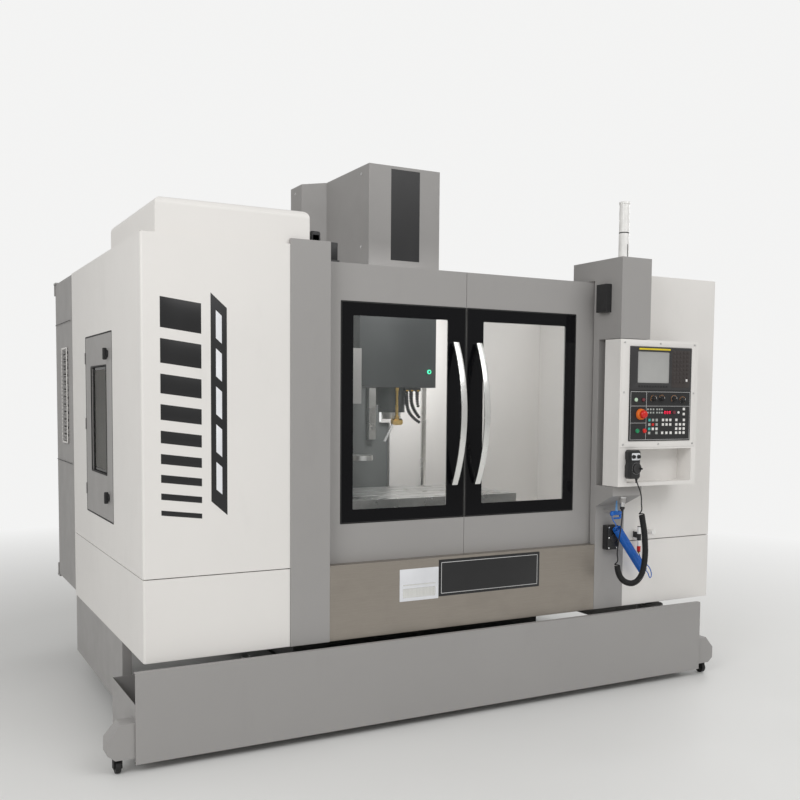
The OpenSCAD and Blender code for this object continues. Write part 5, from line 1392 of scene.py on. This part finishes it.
class MACHINE_OT_lamp(bpy.types.Operator):
    """The signal lamp on the horn: dark base plate, white foot with a dark slot, dark collar, opal tower and
    cap
    """

    bl_idname = "machine.lamp"
    bl_label = "Signal lamp"
    bl_options = {"REGISTER", "UNDO"}

    def execute(self, context):
        low, high = box_mm("signal_lamp")
        x, y, z0, z1 = (low.x + high.x) / 2, (low.y + high.y) / 2, low.z, high.z
        foot = [(0, -0.5), (26.4, -0.5), (26.4, 4), (25, 6), (24.6, 60), (24.6, 125), (23, 127.5),
            (0, 127.5)]
        turned_piece("lamp_foot", (x, y, z0), foot, "frame", "white_plastic", sides=48)
        collar = [(0, 0), (23.4, 0), (24.4, 1), (24.4, 4.4), (23.4, 5.4), (0, 5.4)]
        turned_piece("lamp_collar", (x, y, z0 + 127), collar, "frame", "black", sides=48)
        solid_piece("lamp_slot", [
            (add_block, (x + 1, y - 25.4, z0 + 14), (x + 6, y - 18, z0 + 74), 1.5, 2)], "frame", "black")
        profile = [(0, 0), (23.8, 0)]
        for k in range(int((z1 - z0 - 158) / 6)):
            profile += [(23.9, 6 * k + 1), (24.5, 6 * k + 3), (23.9, 6 * k + 5)]
        top = z1 - z0 - 132
        profile += [(24.2, top - 12), (26.6, top - 11), (26.6, top - 5), (25.4, top - 2), (21, top),
            (0, top)]
        turned_piece("lamp_tower", (x, y, z0 + 132), profile, "frame", "lens", sides=48,
                     replaces=["signal_lamp"])
        block_piece("lamp_base_plate", [((x - 31, y - 30, z0 - 0.5), (x + 31, y + 30, z0 + 2.5))],
            "frame", "black", 0.8)
        return {"FINISHED"}


class MACHINE_OT_fittings(bpy.types.Operator):
    """Interlock, switch boxes behind the post, socket box, air valve and peg"""

    bl_idname = "machine.fittings"
    bl_label = "Fittings"
    bl_options = {"REGISTER", "UNDO"}

    def execute(self, context):
        block_piece("interlock_body", [((697, -80, 1878), (722, -18, 2000)),
            ((695.4, -74, 1888), (699, -24, 1990))], "frame", "black", 2.6)
        block_piece("interlock_mark", [((694.6, -66, 1908), (696, -32, 1968))], "frame", "yellow",
                    0.4)
        repeated("interlock_screws", screw_mesh(0.0026),
                 [(697, y, z) for y in (-75, -23) for z in (1883, 1995)], TO_LEFT_TURN, "frame", "black")
        socket_lid = [rounded(774, 707, 841, 827, 11)]
        plate_piece("socket_box_lid", socket_lid, 9, -38.5, "frame", "black", bevel=2.5)
        block_piece("socket_box_body", [((776, -31, 709), (839, 0.5, 825))], "frame", "black", 5)
        screws = [(x, -38.5, z) for z in (716, 818) for x in (782, 833)] + [(782, -38.5, 767)]
        repeated("socket_box_screws", screw_mesh(0.0032), screws, TO_FRONT_TURN, "frame", "chrome", 1.2)
        inlet = [(0, -1), (17, -1), (19, 0.4), (19, 3.4), (17.6, 4.6), (14, 4.6), (13, 1.5), (0, 1.5)]
        turned_piece("socket_inlet", (812, -38.5, 765), inlet, "frame", "bezel", "-Y", 40)
        x, y, z0 = VALVE_PLACE
        solid_piece("valve_body", [
            (add_turned, (x, y, z0), [(3, 30), (9.4, 30), (9.4, 58), (8, 60), (3, 60)], "Z", 32),
            (add_turned, (x, y, z0), [(3, 92), (9.4, 92), (9.4, 126), (8, 129), (0, 130)], "Z", 32),
            (add_block, (x - 7.5, y, 747), (x + 7.5, 0.5, 790), 1.5)], "frame", "white_plastic")
        cup = [(3, 0), (7, 0), (9.2, 3), (9.6, 8), (9.6, 28), (9, 30), (3, 30)]
        turned_piece("valve_cup", (x, y, z0), cup, "frame", "red", sides=32)
        ring = [(3, 60), (10, 60), (10.4, 61), (10.4, 91), (10, 92), (3, 92)]
        turned_piece("valve_ring", (x, y, z0), ring, "frame", "black", sides=32)
        fitting = [(3, -8), (4.6, -8), (5.2, -6), (5.2, -2), (6.6, -1), (6.6, 2), (3, 2)]
        turned_piece("hose_fitting", (x, y, z0), fitting, "frame", "brass", sides=6)
        peg = [(0, -5), (11.6, -5), (13, -3.5), (13, 3), (12, 6), (12, 40), (17, 41), (17, 43.4), (0, 43.4)]
        turned_piece("peg_cap", (1066, -44, 780), peg, "frame", "white_plastic", "Y", 40)
        self.rear_boxes()
        return {"FINISHED"}

    def rear_boxes(self):
        block_piece("bracket_plate", [((-745, 144, 1962), (-605, 150, 2046))], "frame", "black_paint", 1.2)
        block_piece("bracket_spacers", [((-735, 135.5, 1968), (-719, 144.5, 1990)),
                                        ((-631, 135.5, 1974), (-615, 144.5, 1996))], "frame", "black", 0.8)
        solid_piece("post_unit_tall", [
            (add_block, (-738, 149.5, 2030), (-690, 184, 2164), 10, 5),
            (add_block, (-731, 149.5, 2040), (-697, 187, 2150), 3, 3)], "frame", "black")
        block_piece("post_unit_low", [((-645, 149.5, 2030), (-611, 184, 2122)),
            ((-641, 183, 2050), (-615, 188, 2112))], "frame", "black", 3)
        screws = [(x, 150, z) for x in (-670, -620, -730) for z in (1975, 2006)]
        repeated("bracket_screws", screw_mesh(0.004), screws, TO_REAR_TURN, "frame", "chrome", 1.0)


# Middle lines of the jointed nozzles: place across, and height from the head's underside
NOZZLE_LINES = (
    ((38, -18), (38, -38), (40, -66), (43, -94), (51, -121), (67, -144), (88, -163), (112, -179)),
    ((66, -18), (66, -52), (69, -80), (79, -106), (94, -130), (112, -152)),
    ((102, -18), (102, -52), (105, -80), (108, -94)))


class MACHINE_OT_head(bpy.types.Operator):
    """The head's lit ring button, jointed coolant nozzles, rinse valve, nose screws and cover details"""

    bl_idname = "machine.head"
    bl_label = "Head"
    bl_options = {"REGISTER", "UNDO"}

    def execute(self, context):
        front = box_mm("head")[0].y
        release = (159, front, 1588)
        ring = [(7.4, -1), (11, -1), (11, 2), (10.4, 4.0), (8.4, 4.0), (7.8, 3.2), (7.4, 3.2)]
        turned_piece("release_button_ring", release, ring, "head", "green_lamp", "-Y", 40)
        button = [(0, 0), (7.2, 0), (7.2, 3), (6.2, 4.0), (0, 4.4)]
        turned_piece("release_button", release, button, "head", "bezel", "-Y", 36)
        link = turned_mesh([(0, -2.4), (7.8, -2.4), (10.6, -1.0), (11.7, 2.0), (11.9, 5.2), (9.2, 6.8),
            (6.6, 10.2), (4.2, 11.2), (0, 11.2)], 20)
        copy = copy_object("copy", link)
        meshes = []
        for line in NOZZLE_LINES:
            route = smooth_route([(x, NOZZLE_ROW, HEAD_UNDERSIDE + z) for x, z in line], 8)
            seed = points_mesh([tuple(p) for p in route], as_line=True)
            meshes.append(RECIPES["links"].grow(seed, "blue", Copy=copy, Pitch=0.0115, End_size=0.75))
        bpy.data.objects.remove(copy)
        bpy.data.meshes.remove(link)
        piece("coolant_links", joined(meshes), "head", "black", ["coolant_nozzles"])
        solid_piece("coolant_manifold", [
            (add_block, (24, 694, 1487), (118, 715, 1504.6), 2, 2)], "head", "black")
        tips = bmesh.new()
        for line in NOZZLE_LINES:
            add_turned(tips, (line[0][0], NOZZLE_ROW, HEAD_UNDERSIDE - 25), [
                (0, 0), (10, 0), (11, 2), (11, 5), (13, 6), (13, 12), (0, 12)], sides=6)
        piece("coolant_fittings", mesh_of(tips), "head", "brass")
        pipe = [(0, -22), (10, -22), (10, -6), (13, -5), (13, 22), (9, 24), (8, 60), (8, 150), (12, 151),
                (12, 169), (0, 169)]
        solid_piece("rinse_valve", [
            (add_turned, (-20, 702, 1335), pipe, "Z", 28),
            (add_turned, (-42, 702, 1327), [(6, -6), (17, -6), (17, 50), (6, 50)], "X", 6)], "head", "brass")
        lever = bmesh.new()
        lean = (math.sin(math.radians(28)), math.cos(math.radians(28)))
        for k in range(12):
            near, far = 9.5 * k, 9.5 * k + 11
            add_block(lever, (-41 - far * lean[0], 697, 1327 - far * lean[1]),
                      (-33 - near * lean[0], 707, 1327 - near * lean[1]), 1.6, 2)
        piece("rinse_lever", mesh_of(lever), "head", "chrome")
        cover_front = box_mm("head_cover")[0].y
        solid_piece("cover_black_strip", [
            (add_block, (-80, cover_front - 0.8, 2150), (86, cover_front + 2, 2606), 0.5, 1)],
            "head", "ink")
        for side, turn in ((-1, TO_LEFT_TURN), (1, TO_RIGHT_TURN)):
            spots = [(side * x, y, z) for x, y in ((205, 755), (311, 1380)) for z in (2217, 2582)]
            name = "cover_screws_left" if side < 0 else "cover_screws_right"
            repeated(name, screw_mesh(0.006), spots, turn, "head", "chrome")
        turns = [math.radians(30 + 60 * k) for k in range(6)]
        heads = [(52 * math.cos(a), 800 + 52 * math.sin(a), 1396) for a in turns]
        under = screw_mesh(0.0045)
        under.transform(Matrix.Rotation(math.pi, 4, "X"))
        repeated("nose_screws", under, heads, (0, 0, 0), "head", "chrome")
        return {"FINISHED"}


class MACHINE_OT_doors(bpy.types.Operator):
    """Side door latches and hinge pins, and the seals and gliders of the sliding doors"""

    bl_idname = "machine.doors"
    bl_label = "Door fittings"
    bl_options = {"REGISTER", "UNDO"}

    def execute(self, context):
        for name in ("side_latch_lower", "side_latch_upper"):
            z = front_middle(name)[1]
            rose = [(0, -10), (13, -10), (16.4, 0), (16.8, 2), (16, 6), (13, 7.4), (9, 8), (0, 8)]
            outer = box_mm(name)[0].x
            solid_piece(name + "_handle", [
                (add_turned, (SIDE_FACE, 618, z), rose, "-X", 40),
                (add_block, (outer, 612.5, z - 26), (outer + 19, 623.5, z + 26), 4.4, 4)],
                name, "black", [name])
        hinges = bmesh.new()
        pin = [(0, 0), (1.8, 0), (2.2, 0.4), (2.2, 17.2), (1.8, 17.6), (0, 17.6)]
        for z in (1000, 1314, 1628):
            for u in (-27, -9, 9):
                add_turned(hinges, (SIDE_FACE - 2.6, 1136.4, z + u), pin, sides=16)
        piece("side_door_hinges", mesh_of(hinges), "frame", "grey")
        for side in ("left", "right"):
            low, high = box_mm(side + "_door")
            edge = low.x if side == "left" else high.x
            x = -13 if side == "left" else -7
            foot, top = low.z + 20, high.z - 10
            solid_piece(side + "_door_seal", [
                (add_block, (x - 2.6, 58, foot), (x + 2.6, 74, top), 1.4, 2)], side + "_door", "rubber")
            inner = edge + (170 if side == "left" else -170)
            glide = bmesh.new()
            for u in (0, 420 if side == "left" else -420):
                add_block(glide, (inner + u - 26, 89, 738), (inner + u + 26, 97, 768), 2.5, 2)
            piece(side + "_door_gliders", mesh_of(glide), side + "_door", "white_plastic")
        return {"FINISHED"}


class MACHINE_OT_cabinet(bpy.types.Operator):
    """The electrical cabinet's louvres, seams, hinges, latches, filter grille and switch"""

    bl_idname = "machine.cabinet"
    bl_label = "Electrical cabinet"
    bl_options = {"REGISTER", "UNDO"}

    def execute(self, context):
        side = box_mm("cabinet")[0].x
        slats = RECIPES["slats"].grow(bpy.data.meshes.new("seed"), "grey", Row_length=0.48, Pitch=0.02,
            Slat_length=0.136, Slat_width=0.012, Slat_thickness=0.0012, Tilt=-0.7)
        slats.transform(Matrix.Translation(at(side - 2.0, 1710, 1216)))
        piece("cabinet_louvres", slats, "frame", None)
        frame_outline = [rounded(-1790, 1195, -1630, 1705, 6), rounded(-1781, 1204, -1639, 1696, 4)]
        plate_piece("cabinet_grille_frame", frame_outline, 5, side - 4.5, "frame", "white", "left",
                    1.2)
        screws = [(side - 4.5, y, z) for y in (1635.5, 1784.5) for z in (1202, 1450, 1698)]
        repeated("cabinet_grille_screws", screw_mesh(0.0028), screws, TO_LEFT_TURN, "frame", "chrome", 1.0)
        seams = [[(-2004, z), (-1512, z), (-1512, z + 3), (-2004, z + 3)] for z in (1091, 1838)]
        plate_piece("cabinet_seams", seams, 0.5, side - 0.3, "frame", "rubber", "left", 0.1)
        door_low, door_high = box_mm("cabinet_door")
        back = door_high.y
        hinges = bmesh.new()
        for z in (600, 1250, 1900):
            for u in (-36, -12, 12):
                add_turned(hinges, (door_high.x + 4, back - 6, z + u), [
                    (0, 0), (6, 0), (6.6, 0.8), (6.6, 23), (6, 23.6), (0, 23.6)], sides=20)
        piece("cabinet_hinges", mesh_of(hinges), "frame", "black_paint")
        latch = bmesh.new()
        for z in (700, 1780):
            add_turned(latch, (door_low.x + 40, back - 0.5, z), [
                (0, 0), (15, 0), (16, 1), (16, 4), (14.6, 5.6), (6, 5.6), (5, 3.6), (0, 3.6)], "Y", 36)
            add_block(latch, (door_low.x + 38.4, back + 3, z - 5), (door_low.x + 41.6, back + 4.6, z + 5),
                0.4, 1)
        piece("cabinet_latches", mesh_of(latch), "cabinet_door", "chrome")
        fan = [rounded(-1330, 560, -1130, 760, 8), rounded(-1316, 574, -1144, 746, 5)]
        mesh = plate_mesh(fan, 6, "front", -3, 1.5)
        mesh.transform(Matrix.Translation(at(0, back + 2.6, 0) - at(0, 0, 0)))
        slats = RECIPES["slats"].grow(bpy.data.meshes.new("seed"), "black", Row_length=0.165, Pitch=0.011,
                                      Slat_length=0.174, Slat_width=0.009, Slat_thickness=0.0012, Tilt=0.7)
        place = Matrix.Translation(at(-1230, back + 2.6, 580))
        slats.transform(place @ Matrix.Rotation(math.pi / 2, 4, "Z"))
        piece("cabinet_filter", joined([mesh, slats]), "cabinet_door", "black")
        low, high = box_mm("main_switch")
        x, z = front_middle("main_switch")
        dish = turned_mesh([(0, -1), (33, -1), (36, 0.6), (36, 2.6), (34, 4), (0, 4)], 44)
        repeated("switch_dish", dish, [(x, back, z)], TO_REAR_TURN, "cabinet_door", "yellow")
        x, z = (low.x + high.x) / 2, (low.z + high.z) / 2
        boss = [(0, -12), (21, -12), (21, 8), (19, 10), (0, 10)]
        solid_piece("main_switch_grip", [
            (add_turned, (x, back + 4, z), boss, "Y", 40),
            (add_block, (x - 7, back + 12, z - 21), (x + 7, high.y, z + 21), 3.5, 3)], "main_switch", "red",
            ["main_switch"])
        return {"FINISHED"}


class MACHINE_OT_inside(bpy.types.Operator):
    """The long work light inside, the post on the rear wall and the sheets beside the column"""

    bl_idname = "machine.inside"
    bl_label = "Inside"
    bl_options = {"REGISTER", "UNDO"}

    def execute(self, context):
        solid_piece("work_light_case", [
            (add_block, (-330, 152, 2012), (330, 186, 2040), 5, 3)], "frame", "bar")
        solid_piece("work_light_tube", [
            (add_block, (-312, 158, 2007), (312, 180, 2014), 3, 3)], "frame", "work_light")
        solid_piece("rear_wall_post", [
            (add_block, (560, 1462, 790), (592, 1477.2, 2040), 2, 2)], "frame", "bar")
        block_piece("rear_closing_sheets", [((286, 1473, 1301), (346, 1476, 2050)),
            ((-346, 1473, 1301), (-286, 1476, 1482)), ((-801, 1473, 1480), (-286, 1476, 2050))], "frame",
            "white", 0.5)
        return {"FINISHED"}


class MACHINE_PT_pieces(bpy.types.Panel):
    """Settings and pieces of the machine"""

    bl_idname = "MACHINE_PT_pieces"
    bl_label = "Machining centre"
    bl_space_type = "VIEW_3D"
    bl_region_type = "UI"
    bl_category = "Machine"

    def draw(self, context):
        scene, column = context.scene, self.layout.column(align=True)
        for operator in OPERATORS:
            column.operator(operator.bl_idname)
        for name, group in SETTINGS.items():
            box = self.layout.box()
            box.label(text=group.__doc__.rstrip("."))
            for key in group.__annotations__:
                box.prop(getattr(scene, name), key)


SETTINGS = {"machine_finishes": FinishSettings, "machine_windows": WindowSettings,
            "machine_controls": ControlSettings, "machine_cords": CordSettings,
            "machine_stage": StageSettings}
OPERATORS = (MACHINE_OT_stage, MACHINE_OT_finishes, MACHINE_OT_cords, MACHINE_OT_windows, MACHINE_OT_handles,
             MACHINE_OT_decor, MACHINE_OT_display, MACHINE_OT_keyboard, MACHINE_OT_pendant, MACHINE_OT_lamp,
             MACHINE_OT_fittings, MACHINE_OT_head, MACHINE_OT_doors, MACHINE_OT_cabinet,
             MACHINE_OT_inside)


def register():
    for group in SETTINGS.values():
        bpy.utils.register_class(group)
    for name, group in SETTINGS.items():
        setattr(bpy.types.Scene, name, PointerProperty(type=group))
    for item in (*OPERATORS, MACHINE_PT_pieces):
        bpy.utils.register_class(item)


def unregister():
    for item in (MACHINE_PT_pieces, *reversed(OPERATORS)):
        bpy.utils.unregister_class(item)
    for name in SETTINGS:
        delattr(bpy.types.Scene, name)
    for group in reversed(SETTINGS.values()):
        bpy.utils.unregister_class(group)


def main():
    """Registers the add-on and makes every piece in order."""
    register()
    bpy.ops.machine.stage()
    bpy.ops.machine.finishes()
    bpy.ops.machine.cords()
    bpy.ops.machine.windows()
    bpy.ops.machine.handles()
    bpy.ops.machine.decor()
    bpy.ops.machine.display()
    bpy.ops.machine.keyboard()
    bpy.ops.machine.pendant()
    bpy.ops.machine.lamp()
    bpy.ops.machine.fittings()
    bpy.ops.machine.head()
    bpy.ops.machine.doors()
    bpy.ops.machine.cabinet()
    bpy.ops.machine.inside()


if __name__ == "__main__":
    main()
